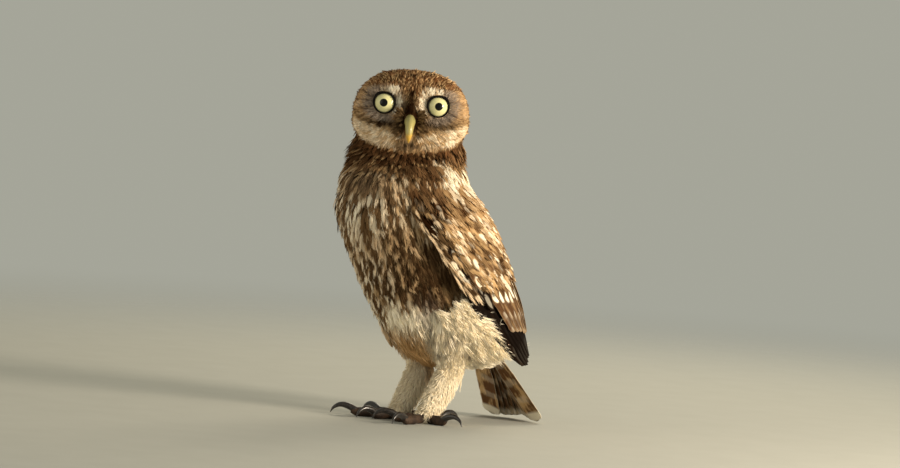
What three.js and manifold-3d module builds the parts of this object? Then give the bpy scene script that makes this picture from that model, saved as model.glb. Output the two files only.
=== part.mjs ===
// Little owl, a young bird standing on both feet: a still model at life size.
// Millimetres. The body faces -Y, the bird's left side is +X, and up is +Z. The head is turned to the
// bird's left.
import * as THREE from 'three';
import Module from 'manifold-3d';

const wasm = await Module();
wasm.setup();

// Driving sizes
const GAP = 0.3; // air between two parts that touch
const HEAD_TURN = THREE.MathUtils.degToRad(45); // how far the face looks to the bird's left
const HEAD_CENTRE = new THREE.Vector3(0.4, -17.1, 163);
const HEAD_SIDE = 32.0; // half the width of the head
const HEAD_TOP = 28.6; // from the head's centre to the crown
const HEAD_CHIN = 18; // from the head's centre to the chin
const HEAD_NAPE_DROP = 25; // from the head's centre to the under side of the nape
const HEAD_FACE = 21.5; // from the head's centre to the face
const HEAD_NAPE = 27; // from the head's centre to the nape
const CROWN_SQUARE = 0.8; // under 1 the crown's corners stand out past an ellipse, 1 is an ellipse
const EYE_SPREAD = 14.4; // from the bill's line to each eye
const EYE_RISE = 9.9; // of the eyes above the head's centre
const EYE_RADIUS = 8.4; // of the eyeball
const EYE_OPENING = 5.7; // radius of the lids' opening
const EYE_FRONT = 21.5; // from the head's centre to the front of the eye
const EYE_OUTWARD = THREE.MathUtils.degToRad(9); // how far each eye looks outward
const LID_ROLL = 1.05; // radius of the lids' rolled edge
const NOSTRIL_RADIUS = 0.75;
const LEG_SPREAD = 10.5; // from the middle to each foot
const TOE_RADIUS = 2.5;
const CLAW_RADIUS = 1.75;
const CLAW_LENGTH = 12;
const HEEL = new THREE.Vector3(11.3, 18, 33); // of the left leg
const VANE_THICKNESS = 0.6;
const WING_VANE_TILT = -0.9;
const TAIL_ROOT = new THREE.Vector3(0, 52, 45.5);
const TAIL_END = new THREE.Vector3(0, 86, 1.7);
const TAIL_PAIRS = 6;
const TAIL_VANE_WIDTH = 14.5;
const TAIL_LAYER = 0.95; // from one pair of tail feathers to the next above it
const TAIL_FAN = 2.4; // degrees from one pair of tail feathers to the next
const TAIL_ARCH = 0.0035; // fall of the tail towards its sides
const NECKLINE = 131; // level at which the neck meets the torso, over the feet
const NECKLINE_SLOPE = 0.1; // rise of that level towards the back
const STAND_OFFSET = new THREE.Vector3(0, -15.88, 0); // brings the middle of the part's box to the origin
const TOLERANCE = 0.02; // how far a cut surface may be tidied
const BEYOND = 320; // past the bird on every side

const SIDES = { left: 1, right: -1 };
const { degToRad, lerp, clamp, smoothstep } = THREE.MathUtils;
const vec = (x, y, z) => new THREE.Vector3(x, y, z);

// A small repeatable draw, from -1 to 1, for the natural spread of the feathers.
const SEED = 7;
let seed = SEED;
const draw = () => {
  seed = (seed * 16807) % 2147483647;
  return (seed / 2147483647) * 2 - 1;
};

// Closed solids

// A closed solid from its corner points and triangles, turned so that its faces point out.
function solid(points, triangles) {
  const vertProperties = new Float32Array(points.flatMap((p) => [p.x, p.y, p.z]));
  let volume = 0;
  for (let i = 0; i < triangles.length; i += 3) {
    const [a, b, c] = [0, 1, 2].map((k) => points[triangles[i + k]]);
    volume += a.dot(b.clone().cross(c));
  }
  const triVerts = new Uint32Array(volume > 0 ? triangles : triangles.slice().reverse());
  return new wasm.Manifold(new wasm.Mesh({ numProp: 3, vertProperties, triVerts }));
}

// A solid through rings of points, closed at both ends by a fan.
function loft(rings) {
  const around = rings[0].length;
  const middle = (ring) => ring.reduce((sum, p) => sum.add(p), vec(0, 0, 0)).divideScalar(around);
  const points = [...rings.flat(), middle(rings[0]), middle(rings[rings.length - 1])];
  const triangles = [];
  for (let i = 0; i < rings.length - 1; i++) {
    for (let j = 0; j < around; j++) {
      const a = i * around + j;
      const b = i * around + ((j + 1) % around);
      triangles.push(a, b, a + around, b, b + around, a + around);
    }
  }
  const last = (rings.length - 1) * around;
  const ends = rings.length * around;
  for (let j = 0; j < around; j++) {
    const next = (j + 1) % around;
    triangles.push(ends, next, j);
    triangles.push(ends + 1, last + j, last + next);
  }
  return solid(points, triangles);
}

// A plate between an upper and a lower surface over the same grid, split into triangles alike on both.
function plate(upper, lower, along, across) {
  const points = [];
  for (const surface of [upper, lower]) {
    for (let i = 0; i <= along; i++) {
      for (let j = 0; j <= across; j++) points.push(surface(i / along, (j / across) * 2 - 1));
    }
  }
  const row = across + 1;
  const layer = (along + 1) * row;
  const triangles = [];
  for (let i = 0; i < along; i++) {
    for (let j = 0; j < across; j++) {
      const a = i * row + j;
      triangles.push(a, a + 1, a + row, a + 1, a + row + 1, a + row);
      triangles.push(layer + a, layer + a + row, layer + a + 1);
      triangles.push(layer + a + 1, layer + a + row, layer + a + row + 1);
    }
  }
  const wall = (from, to) => triangles.push(to, layer + to, from, from, layer + to, layer + from);
  for (let i = 0; i < along; i++) {
    wall(i * row, (i + 1) * row);
    wall((i + 1) * row + across, i * row + across);
  }
  for (let j = 0; j < across; j++) {
    wall(j + 1, j);
    wall(along * row + j, along * row + j + 1);
  }
  return solid(points, triangles);
}

// A closed hoop through rings of points.
function hoop(rings) {
  const around = rings[0].length;
  const points = rings.flat();
  const triangles = [];
  rings.forEach((ring, i) => {
    for (let j = 0; j < around; j++) {
      const a = i * around + j;
      const b = i * around + ((j + 1) % around);
      const c = ((i + 1) % rings.length) * around + j;
      const d = ((i + 1) % rings.length) * around + ((j + 1) % around);
      triangles.push(a, b, c, b, d, c);
    }
  });
  return solid(points, triangles);
}

// A round tube along a curve, with a half-width and a half-height at each point of it.
function tube(path, widths, heights, steps, around, up, grow = 0) {
  const curve = new THREE.CatmullRomCurve3(path);
  const size = (list, t) => {
    const at = t * (list.length - 1);
    const i = Math.min(Math.floor(at), list.length - 2);
    return lerp(list[i], list[i + 1], at - i) + grow;
  };
  const rings = [];
  for (let i = 0; i <= steps; i++) {
    const t = i / steps;
    const along = curve.getTangent(t);
    const side = along.clone().cross(up).normalize();
    const rise = side.clone().cross(along).normalize();
    const centre = curve.getPoint(t);
    if (i === 0) centre.addScaledVector(along, -grow);
    if (i === steps) centre.addScaledVector(along, grow);
    const ring = [];
    for (let j = 0; j < around; j++) {
      const angle = (j / around) * 2 * Math.PI;
      ring.push(
        centre
          .clone()
          .addScaledVector(side, Math.cos(angle) * size(widths, t))
          .addScaledVector(rise, Math.sin(angle) * size(heights, t)),
      );
    }
    rings.push(ring);
  }
  return loft(rings);
}

// A round ball, stretched if three radii are given.
function ball(centre, rx, ry = rx, rz = rx, around = 20) {
  const rings = [];
  const rows = around / 2;
  for (let i = 1; i < rows; i++) {
    const polar = (i / rows) * Math.PI;
    const ring = [];
    for (let j = 0; j < around; j++) {
      const angle = (j / around) * 2 * Math.PI;
      const out = vec(Math.sin(polar) * Math.cos(angle) * rx, Math.sin(polar) * Math.sin(angle) * ry, 0);
      ring.push(centre.clone().add(out).add(vec(0, 0, Math.cos(polar) * rz)));
    }
    rings.push(ring);
  }
  return loft(rings);
}

// A wide block between two levels, which may both rise towards the back.
function slab(low, high, slope = 0) {
  const surface = (level) => (share, across) => {
    const y = lerp(-BEYOND, BEYOND, share);
    return vec(across * BEYOND, y, level + slope * y);
  };
  return plate(surface(high), surface(low), 1, 1);
}

// The largest closed body of a solid.
function largest(made) {
  const bodies = made.simplify(TOLERANCE).decompose();
  return bodies.sort((a, b) => b.volume() - a.volume())[0];
}

const union = (solids) => wasm.Manifold.union(solids);

// Body surfaces

// Each station gives the body's outline seen from the side, front and back as [y, z], and half its width.
const TORSO = [
  { front: [-40, 157], back: [8, 159], half: 25 }, // neck, inside the head
  { front: [-48, 146], back: [13, 149], half: 30 }, // throat
  { front: [-55.2, 130], back: [17, 137], half: 34 }, // shoulders
  { front: [-55.4, 109], back: [26, 122], half: 35.2 }, // breast
  { front: [-44.5, 87], back: [35, 103], half: 33.5 }, // belly
  { front: [-31.5, 66], back: [42.5, 84], half: 31.5 }, // flanks
  { front: [-12, 45], back: [49, 62], half: 26.5 }, // between the thighs
  { front: [12, 30.5], back: [56.5, 47], half: 24 }, // vent
  { front: [38, 29], back: [60, 39], half: 19 }, // under the tail
  { front: [50, 33], back: [58, 36.5], half: 9 },
];

// The same for the outside of the folded wings, which run on past the rump to their tips.
const WING = [
  { front: [-50, 139], back: [10, 142], half: 30 },
  { front: [-56.2, 115], back: [24, 125], half: 37 },
  { front: [-49, 92], back: [40, 107], half: 39 },
  { front: [-38, 70], back: [53.5, 87], half: 38.5 },
  { front: [-21, 51], back: [64, 68], half: 37.5 },
  { front: [3, 37], back: [71.5, 51], half: 33.5 },
  { front: [38, 26], back: [77, 33], half: 27 },
];

// The point of such a body at a share of its length and an angle from the front, lifted off it.
function bodySurface(stations) {
  const curve = (pick) => new THREE.CatmullRomCurve3(stations.map(pick));
  const front = curve((s) => vec(0, ...s.front));
  const back = curve((s) => vec(0, ...s.back));
  const half = curve((s, i) => vec(s.half, i, 0));
  return (t, angle, lift = 0) => {
    const share = clamp(t, 0, 1);
    const f = front.getPoint(share);
    const b = back.getPoint(share);
    const reach = b.clone().sub(f).multiplyScalar(0.5);
    const wide = half.getPoint(share).x + lift;
    return f
      .add(b)
      .multiplyScalar(0.5)
      .addScaledVector(reach.clone().normalize(), -Math.cos(angle) * (reach.length() + lift))
      .add(vec(Math.sin(angle) * wide, 0, 0));
  };
}

// The neck turns with the head: its upper end is as wide as the face and shallow under the chin.
const NECK = { side: 31.6, front: 19, back: 26.5, end: 0.25 };

const bodyShape = bodySurface(TORSO);
const wingSurface = bodySurface(WING);

function torsoSurface(t, angle, lift = 0) {
  const plain = bodyShape(t, angle, lift);
  const turned = angle - HEAD_TURN;
  const deep = (Math.cos(turned) > 0 ? NECK.front : NECK.back) + lift;
  const taper = lerp(0.93, 1, smoothstep(t, 0, 0.1));
  const reach = taper / Math.hypot(Math.cos(turned) / deep, Math.sin(turned) / (NECK.side + lift));
  const level = bodyShape(t, Math.PI / 2).z;
  const neck = vec(Math.sin(angle) * reach, -Math.cos(angle) * reach, 0).add(HEAD_CENTRE).setZ(level);
  return plain.lerp(neck, 1 - smoothstep(t, 0.06, NECK.end));
}

// The whole trunk as one body, grown all over by a clearance.
function trunk(grow, steps, around) {
  const rings = [];
  for (let i = 0; i <= steps; i++) {
    const ring = [];
    for (let j = 0; j < around; j++) ring.push(torsoSurface(i / steps, (j / around) * 2 * Math.PI, grow));
    rings.push(ring);
  }
  const end = rings[rings.length - 1];
  end.forEach((p) => p.add(vec(0, grow, -grow * 0.3)));
  return loft(rings);
}

// Head

const headFrame = new THREE.Matrix4().makeRotationZ(HEAD_TURN).setPosition(HEAD_CENTRE);
// A point of the head from its distance to the side, up and forward.
const headPoint = (side, up, forward) => vec(side, -forward, up).applyMatrix4(headFrame);
const hump = (distance, radius) => Math.exp(-((distance / radius) ** 2));

// How far the face stands forward of a plain dome: sunken discs round the eyes, a ridge over the bill,
// brows and cheeks.
function faceRelief(side, up) {
  const out = Math.abs(side);
  const toEye = Math.hypot(out - EYE_SPREAD, up - EYE_RISE);
  const disc = -1.7 * hump(toEye, 9.5);
  const ridge = 3.4 * hump(side, 5) * hump(up - 3, 13);
  const brow = 1.9 * hump(up - (18.5 - 0.16 * out), 3.4) * hump(out - 12, 10);
  const cheek = 2.0 * hump(Math.hypot(out - 17, up + 10), 9);
  const chin = 3.2 * hump(side, 6) * hump(up + 14, 6);
  return disc + ridge + brow + cheek + chin;
}

// The head as rings from the middle of the face round to the nape.
function headDome(grow, steps, around) {
  const rings = [];
  const stops = [0.3, ...Array.from({ length: steps - 1 }, (_, i) => i + 1), steps - 0.3];
  for (const stop of stops) {
    const polar = (Math.PI * stop) / steps;
    const spread = Math.sin(polar);
    const facing = Math.cos(polar) > 0;
    const drop = lerp(HEAD_CHIN, HEAD_NAPE_DROP, smoothstep(-Math.cos(polar), -0.35, 0.7));
    const ring = [];
    for (let j = 0; j < around; j++) {
      const angle = (j / around) * 2 * Math.PI;
      const over = Math.sin(angle) > 0;
      const square = over ? CROWN_SQUARE : 0.95;
      const wide = Math.sign(Math.cos(angle)) * Math.abs(Math.cos(angle)) ** square;
      const side = (HEAD_SIDE + grow) * spread * wide;
      const high = over ? Math.sin(angle) ** CROWN_SQUARE : Math.sin(angle);
      const rise = over ? HEAD_TOP : drop;
      const up = (rise + grow) * spread * high;
      const flat = (1 - spread ** 2.7) ** 0.42;
      const forward = facing
        ? (HEAD_FACE + grow) * flat + faceRelief(side, up) * smoothstep(flat, 0, 0.45)
        : -(HEAD_NAPE + grow) * Math.sqrt(1 - spread * spread);
      ring.push(headPoint(side, up, forward));
    }
    rings.push(ring);
  }
  return loft(rings);
}

const eyeForward = EYE_FRONT - EYE_RADIUS;
const eyeCentre = (sign) =>
  headPoint(sign * (EYE_SPREAD - Math.sin(EYE_OUTWARD) * EYE_RADIUS * 0.6), EYE_RISE, eyeForward);
// The way an eye looks, in the bird's own frame.
const eyeAxis = (sign) =>
  vec(sign * Math.sin(EYE_OUTWARD), -Math.cos(EYE_OUTWARD), 0).transformDirection(headFrame);

// A round lid that stands round the eye's opening.
function lid(sign) {
  const around = 16;
  const axis = eyeAxis(sign);
  const deep = Math.sqrt(EYE_RADIUS ** 2 - EYE_OPENING ** 2);
  const centre = eyeCentre(sign).addScaledVector(axis, deep + 0.1 * LID_ROLL);
  const side = axis.clone().cross(vec(0, 0, 1)).normalize();
  const up = side.clone().cross(axis);
  const rings = [];
  for (let i = 0; i < around; i++) {
    const angle = (i / around) * 2 * Math.PI;
    const out = side.clone().multiplyScalar(Math.cos(angle)).addScaledVector(up, Math.sin(angle));
    const ring = [0, 1, 2, 3].map((k) => {
      const turn = (k / 4) * 2 * Math.PI;
      return centre
        .clone()
        .addScaledVector(out, EYE_OPENING + LID_ROLL * (0.7 + Math.cos(turn)))
        .addScaledVector(axis, LID_ROLL * Math.sin(turn));
    });
    rings.push(ring);
  }
  return hoop(rings);
}

const headUp = vec(0, 0, 1);
const headSide = vec(1, 0, 0).transformDirection(headFrame);

// The bill from inside the face to its tip, as [forward, up] from the head's centre, half-width and
// half-height.
const BILL_UPPER = [
  [[15, 0.5], 2.7, 3.1],
  [[21.5, 1.5], 2.7, 3.2],
  [[25.6, 0.2], 2.6, 3.1],
  [[28.2, -2.9], 2.3, 2.7],
  [[28.9, -6.1], 1.8, 2.0],
  [[28.2, -8.7], 1.1, 1.2],
  [[27.4, -10.5], 0.25, 0.3],
];
const BILL_LOWER = [
  [[15, -5.3], 2.4, 1.6],
  [[20, -5.9], 2.2, 1.6],
  [[23.6, -6.7], 1.7, 1.2],
  [[25.6, -8.1], 0.8, 0.5],
];

function bill(stations, up, grow = 0) {
  const path = stations.map(([[forward, rise]]) => headPoint(0, rise, forward));
  const widths = stations.map((station) => station[1]);
  const heights = stations.map((station) => station[2]);
  return tube(path, widths, heights, stations.length + 1, 8, up, grow);
}

// The upper bill turns down, so its rings are laid out from the side, with their depth first.
const billUpper = (grow) =>
  bill(BILL_UPPER.map(([place, wide, deep]) => [place, deep, wide]), headSide, grow);
const billLower = (grow) => bill(BILL_LOWER, headUp, grow);

function nostrils() {
  const size = [NOSTRIL_RADIUS, NOSTRIL_RADIUS, NOSTRIL_RADIUS];
  return union([1, -1].map((sign) => ball(headPoint(sign * 2.5, 1.7, 25), ...size, 8)));
}

// Legs and feet

const heel = (sign) => vec(sign * HEEL.x, HEEL.y, HEEL.z);
const footCentre = (sign) => vec(sign * LEG_SPREAD, 0.6, 3.4);

// The feathered thigh, from inside the flank down to its hem over the heel.
function thigh(sign, grow = 0) {
  const path = [
    vec(17, 7, 66),
    vec(17, 12, 54),
    vec(14.5, 17, 44),
    vec(12.8, 17, 36),
    vec(11.5, 17.5, 29.5),
  ];
  return tube(
    path.map((p) => vec(p.x * sign, p.y, p.z)),
    [15, 14.5, 12.5, 10.5, 7.6],
    [19, 19.5, 17.5, 15, 10],
    9,
    18,
    vec(0, 1, 0.3),
    grow,
  );
}

// The feathered shank between the heel and the foot.
function tarsus(sign, grow = 0) {
  const path = [heel(sign), vec(sign * 11, 13, 21), vec(sign * 10.7, 6, 11), vec(sign * 10.5, 1.4, 4)];
  return tube(path, [6.8, 6.6, 6.2, 5.6], [8, 8.4, 7.4, 5.8], 5, 12, vec(0, 1, 0.4), grow);
}

const footPad = (sign, grow = 0) =>
  ball(footCentre(sign), 5.9 + grow, 6.3 + grow, 3.9 + grow, 12);

// Where each toe points, in degrees from straight ahead and outward, and how long it is without its claw.
const TOES = {
  left: [
    { name: 'hind', turn: 180, long: 14 },
    { name: 'inner', turn: -34, long: 17 },
    { name: 'middle', turn: 14, long: 21.5 },
    { name: 'outer', turn: 97, long: 14 },
  ],
  right: [
    { name: 'hind', turn: 200, long: 14 },
    { name: 'inner', turn: 4, long: 17.5 },
    { name: 'middle', turn: 43, long: 25 },
    { name: 'outer', turn: 92, long: 17 },
  ],
};

const toeDirection = (sign, turn) => vec(sign * Math.sin(degToRad(turn)), -Math.cos(degToRad(turn)), 0);

// A toe with its pads, lying on the floor.
function toe(sign, { turn, long }, grow = 0) {
  const ahead = toeDirection(sign, turn);
  const from = footCentre(sign);
  const at = (distance, height) => from.clone().setZ(height).addScaledVector(ahead, distance);
  const path = [at(2, 3.0), at(long * 0.35, 2.6), at(long * 0.62, 2.5), at(long * 0.86, 2.3), at(long, 2.9)];
  const sizes = [1.08, 0.98, 1.06, 1, 0.72].map((share) => share * TOE_RADIUS);
  return tube(path, sizes, sizes.map((r) => r * 1.06), 5, 8, headUp, grow);
}

// A hooked claw that arches off the toe and comes down to just over the floor.
function claw(sign, { turn, long }) {
  const ahead = toeDirection(sign, turn);
  const from = footCentre(sign);
  const at = (share, height) => from.clone().setZ(height).addScaledVector(ahead, long + share * CLAW_LENGTH);
  const path = [at(-0.15, 3.2), at(0.2, 5.2), at(0.55, 5.7), at(0.85, 3.9), at(1, 0.9)];
  const sizes = [1, 0.92, 0.72, 0.45, 0.12].map((share) => share * CLAW_RADIUS);
  const up = vec(0, 0, 1).addScaledVector(ahead, 0.3);
  return tube(path, sizes, sizes.map((r) => r * 1.15), 6, 6, up);
}

// Feathers

// A vane's half-width along it: narrow at its root, full past the middle, round at the tip.
function vaneWidth(s, width) {
  const root = lerp(0.55, 1, smoothstep(s, 0, 0.45));
  const tip = Math.sqrt(Math.max(0, 1 - clamp((s - 0.8) / 0.2, 0, 1) ** 2.2));
  return (width / 2) * root * Math.max(tip, 0.3);
}

// Stations along a vane, close together at its round tip.
const vaneStation = (share) => (share < 0.5 ? 1.6 * share : 0.8 + 0.4 * (share - 0.5));

// A flat feather that follows a path over a surface. It may tilt, so that one edge stands up over the next
// feather: the one away from the hand side.
function vane({ path, outward, width, hand, tilt = 0 }) {
  const step = 0.02;
  const frameAt = (s) => {
    const here = path(s);
    const ahead = path(Math.min(1, s + step)).sub(path(Math.max(0, s - step))).normalize();
    const out = outward(s).clone();
    out.addScaledVector(ahead, -out.dot(ahead)).normalize();
    return { here, side: out.clone().cross(ahead).setLength(hand), out };
  };
  const surface = (depth) => (share, c) => {
    const s = vaneStation(share);
    const { here, side, out } = frameAt(s);
    const reach = c * vaneWidth(s, width);
    return here
      .addScaledVector(side, reach)
      .addScaledVector(out, tilt * c - depth);
  };
  return plate(surface(0), surface(VANE_THICKNESS), 4, 1);
}

// Wings

// The tiers of the folded wing: primaries, secondaries, tertials, then primary, greater, median and lesser
// coverts. Each has how many feathers it shows, where the lowest and the uppermost have root and tip as
// [share of length, degrees from the front], their width, and how high they lie at root and tip.
const WING_TIERS = [
  { count: 5, root: [[0.42, 70], [0.5, 98]], tip: [[0.88, 97], [1.0, 129]], width: 12, lift: [-2.4, 0.2] },
  { count: 5, root: [[0.38, 86], [0.36, 152]], tip: [[0.78, 102], [0.86, 156]], width: 15, lift: [-2, 0.5] },
  { count: 2, root: [[0.34, 142], [0.3, 158]], tip: [[0.73, 156], [0.66, 166]], width: 16, lift: [-1.6, 1.3] },
  { count: 3, root: [[0.24, 60], [0.32, 76]], tip: [[0.52, 75], [0.62, 90]], width: 9.5, lift: [-1.8, 0.8] },
  { count: 5, root: [[0.28, 72], [0.26, 150]], tip: [[0.56, 88], [0.56, 158]], width: 15, lift: [-1.8, 1.3] },
  { count: 5, root: [[0.18, 61], [0.16, 146]], tip: [[0.4, 74], [0.4, 155]], width: 15, lift: [-2, 1.6] },
  { count: 4, root: [[0.07, 57], [0.06, 138]], tip: [[0.25, 65], [0.25, 148]], width: 17, lift: [-3, 1.6] },
];

const leadingEdge = (t) => 49 + 44 * t + 31 * t ** 4;
const upperEdge = (t) => 150 + 18 * smoothstep(t, 0, 0.4) - 34 * t ** 5;
const CORE_INSET = 3; // degrees between the wing's edges and its core

// The wing's arm and the bases of its feathers, as one bent plate against the flank.
function wingCore(sign) {
  const start = 0.05;
  const end = 0.9;
  const at = (lift) => (s, c) => {
    const t = lerp(start, end, s);
    const rim = 1 - Math.abs(c) ** 4;
    const low = leadingEdge(t) + CORE_INSET;
    const high = upperEdge(t) - CORE_INSET;
    const angle = degToRad(lerp(low, high, (c + 1) / 2));
    const thin = lerp(1, 0.5, smoothstep(s, 0.12, 0.36));
    const depth = lift < -2 ? lift * thin : lift;
    const ends = Math.sin(Math.PI * clamp(s, 0.02, 0.98)) ** 0.25;
    const middle = -3.2;
    return wingSurface(t, sign * angle, lerp(middle, depth, rim * ends));
  };
  return plate(at(-1.3), at(-7.5), 7, 5);
}

// One tier of feathers, from the lowest to the uppermost.
function wingTier(sign, tier) {
  const solids = [];
  for (let i = 0; i < tier.count; i++) {
    const share = tier.count > 1 ? i / (tier.count - 1) : 0;
    const place = (ends) => [lerp(ends[0][0], ends[1][0], share), lerp(ends[0][1], ends[1][1], share)];
    const [rootT, rootAngle] = place(tier.root);
    const [tipT, tipAngle] = place(tier.tip);
    const jitter = 0.006 * draw();
    const at = (s) => [lerp(rootT, tipT + jitter, s), degToRad(lerp(rootAngle, tipAngle, s ** 0.9))];
    const path = (s) => {
      const [t, angle] = at(s);
      return wingSurface(t, sign * angle, lerp(tier.lift[0], tier.lift[1], smoothstep(s, 0, 0.8)));
    };
    const outward = (s) => {
      const [t, angle] = at(s);
      return wingSurface(t, sign * angle, 1).sub(wingSurface(t, sign * angle, 0)).normalize();
    };
    const width = tier.width * (1 + 0.05 * draw());
    solids.push(vane({ path, outward, width, hand: sign, tilt: WING_VANE_TILT }));
  }
  return solids;
}

function wing(sign) {
  seed = SEED;
  const vanes = WING_TIERS.flatMap((tier) => wingTier(sign, tier));
  return union([wingCore(sign), ...vanes]);
}

// Tail

const tailAhead = TAIL_END.clone().sub(TAIL_ROOT).normalize();
const tailOut = vec(0, -tailAhead.z, tailAhead.y);
const tailLength = TAIL_END.distanceTo(TAIL_ROOT);

// A feather of the tail: its side, how far from the middle it is rooted, how high it lies, and its fan angle.
function tailFeather({ sign, inset, start, lift, length, width, fan }) {
  const spread = degToRad(fan) * sign;
  const way = tailAhead.clone().multiplyScalar(Math.cos(spread)).add(vec(Math.sin(spread), 0, 0));
  const root = TAIL_ROOT.clone().add(vec(sign * inset, 0, 0)).addScaledVector(tailAhead, start);
  const path = (s) => {
    const aside = inset + length * s * Math.sin(Math.abs(spread));
    return root
      .clone()
      .addScaledVector(way, length * s)
      .addScaledVector(tailOut, lift - TAIL_ARCH * aside ** 2);
  };
  return vane({ path, outward: () => tailOut, width, hand: sign });
}

// The tail feathers, stacked from the outer pair below to the middle pair on top.
function tailPairs() {
  const solids = [];
  for (let i = 0; i < TAIL_PAIRS; i++) {
    const order = TAIL_PAIRS - 1 - i;
    const level = (i - TAIL_PAIRS / 2 + 0.5) * TAIL_LAYER;
    for (const sign of [-1, 1]) {
      solids.push(
        tailFeather({
          sign,
          inset: order * 0.55,
          start: 0,
          lift: level + (sign > 0 ? 0.25 : 0),
          length: tailLength - 0.4 * order + 0.5 * draw(),
          width: TAIL_VANE_WIDTH,
          fan: 1.4 + order * TAIL_FAN,
        }),
      );
    }
  }
  return solids;
}

// The coverts over the roots of the tail feathers.
function tailCoverts() {
  const length = 0.42 * tailLength;
  return [-1, 0, 1].map((side) =>
    tailFeather({
      sign: side || 1,
      inset: 9 * Math.abs(side),
      start: -2,
      lift: 3.4,
      length,
      width: 13,
      fan: 3 * Math.abs(side),
    }),
  );
}

function tail() {
  const core = ball(TAIL_ROOT.clone().addScaledVector(tailAhead, 5), 12, 7, 8, 12);
  return union([core, ...tailPairs(), ...tailCoverts()]);
}

// Assembly

const COLOURS = {
  plumage: [0x8a6a48, 0.9],
  pale: [0xe6d8b8, 0.92],
  wing: [0x6a4a30, 0.8],
  iris: [0xe8e06a, 0.15],
  bill: [0xb8ad55, 0.45],
  toe: [0x6b5240, 0.8],
  claw: [0x1c1614, 0.35],
};

const owl = new THREE.Group();
owl.position.copy(STAND_OFFSET);

// Adds a solid to the bird as a named mesh, keeping its largest closed body.
function add(name, made, finish) {
  const { vertProperties, triVerts } = largest(made).getMesh();
  const geometry = new THREE.BufferGeometry();
  geometry.setAttribute('position', new THREE.BufferAttribute(new Float32Array(vertProperties), 3));
  geometry.setIndex(new THREE.BufferAttribute(new Uint32Array(triVerts), 1));
  geometry.computeVertexNormals();
  const [color, roughness] = COLOURS[finish];
  const mesh = new THREE.Mesh(geometry, new THREE.MeshStandardMaterial({ color, roughness, metalness: 0 }));
  mesh.name = name;
  owl.add(mesh);
}

const belowFloor = slab(-BEYOND, 0);
const aboveNeckline = slab(NECKLINE, BEYOND, NECKLINE_SLOPE);
const trunkSolid = trunk(0, 18, 28);
const trunkGrown = trunk(GAP, 18, 28);
const eyeBall = (sign, grow = 0) => {
  const radius = EYE_RADIUS + grow;
  return ball(eyeCentre(sign), radius, radius, radius, 16);
};
const billsGrown = union([billUpper(GAP), billLower(GAP)]);
const sockets = union([eyeBall(1, GAP), eyeBall(-1, GAP), billsGrown]);
const neck = trunkSolid.intersect(aboveNeckline).subtract(headDome(GAP, 18, 28));

add('head', union([headDome(0, 18, 28), lid(1), lid(-1)]).subtract(sockets), 'plumage');
add('bill_upper', billUpper().subtract(nostrils()), 'bill');
add('bill_lower', billLower().subtract(billUpper(GAP)), 'bill');
add('neck', neck.subtract(billsGrown), 'plumage');
add('torso', trunkSolid.subtract(aboveNeckline.translate([0, 0, -GAP])), 'plumage');
add('tail', tail().subtract(trunkGrown), 'wing');

for (const [side, sign] of Object.entries(SIDES)) {
  const thighGrown = thigh(sign, GAP);
  const padGrown = footPad(sign, GAP);
  const shank = tarsus(sign).subtract(union([thighGrown, trunkGrown, padGrown]));
  add(`eye_${side}`, eyeBall(sign), 'iris');
  add(`wing_${side}`, wing(sign).subtract(trunkGrown).subtract(thighGrown), 'wing');
  add(`thigh_${side}`, thigh(sign).subtract(trunkGrown), 'pale');
  add(`tarsus_${side}`, shank, 'pale');
  add(`foot_${side}`, footPad(sign).subtract(belowFloor), 'pale');
  const taken = [padGrown, tarsus(sign, GAP), belowFloor];
  for (const shape of TOES[side]) {
    add(`toe_${side}_${shape.name}`, toe(sign, shape).subtract(union(taken)), 'toe');
    taken.push(toe(sign, shape, GAP));
    add(`claw_${side}_${shape.name}`, claw(sign, shape).subtract(toe(sign, shape, GAP)), 'claw');
  }
}

export default owl;
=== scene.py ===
# A young little owl, standing on both feet with its head turned to its left.
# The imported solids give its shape. Skin, feathers, eyes, bill and feet are laid over them here.
# The makers work in millimetres in the solids' own frame, and every mesh is made in metres.

import math

import bmesh
import bpy
import numpy as np
from bpy.props import FloatProperty, FloatVectorProperty, IntProperty, PointerProperty
from mathutils import Matrix, Vector
from mathutils.bvhtree import BVHTree
from mathutils.kdtree import KDTree


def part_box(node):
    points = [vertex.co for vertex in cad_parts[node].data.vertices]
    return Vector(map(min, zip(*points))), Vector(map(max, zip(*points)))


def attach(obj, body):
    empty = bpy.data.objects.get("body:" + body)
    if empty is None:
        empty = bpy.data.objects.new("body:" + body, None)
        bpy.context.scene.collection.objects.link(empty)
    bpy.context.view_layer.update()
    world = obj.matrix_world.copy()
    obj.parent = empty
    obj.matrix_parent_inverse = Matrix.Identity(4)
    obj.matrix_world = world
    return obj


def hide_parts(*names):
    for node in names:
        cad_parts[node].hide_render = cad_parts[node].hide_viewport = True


bl_info = {
    "name": "Little Owl",
    "version": (1, 0, 0),
    "blender": (4, 5, 0),
    "location": "3D View > Sidebar > Owl",
    "description": "Dresses the solid model of a young little owl in skin, feathers, eyes, bill and feet",
    "category": "Object",
}

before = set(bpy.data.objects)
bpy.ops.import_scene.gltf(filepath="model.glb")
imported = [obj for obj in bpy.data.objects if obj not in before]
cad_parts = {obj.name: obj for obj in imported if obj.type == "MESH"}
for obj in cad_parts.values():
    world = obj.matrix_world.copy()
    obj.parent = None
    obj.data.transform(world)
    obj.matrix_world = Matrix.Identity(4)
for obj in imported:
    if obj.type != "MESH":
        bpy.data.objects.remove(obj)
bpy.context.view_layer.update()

MM = 0.001
BODY = "root"
FLOOR_GAP = 0.02  # between the floor and whatever lies lowest

# The frame's own measures

SIDES = {"left": 1, "right": -1}
UP = np.array([0.0, 0.0, 1.0])


def node_box(name):
    low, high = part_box(name)
    return np.array(low) / MM, np.array(high) / MM


def node_middle(name):
    low, high = node_box(name)
    return (low + high) / 2


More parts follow.
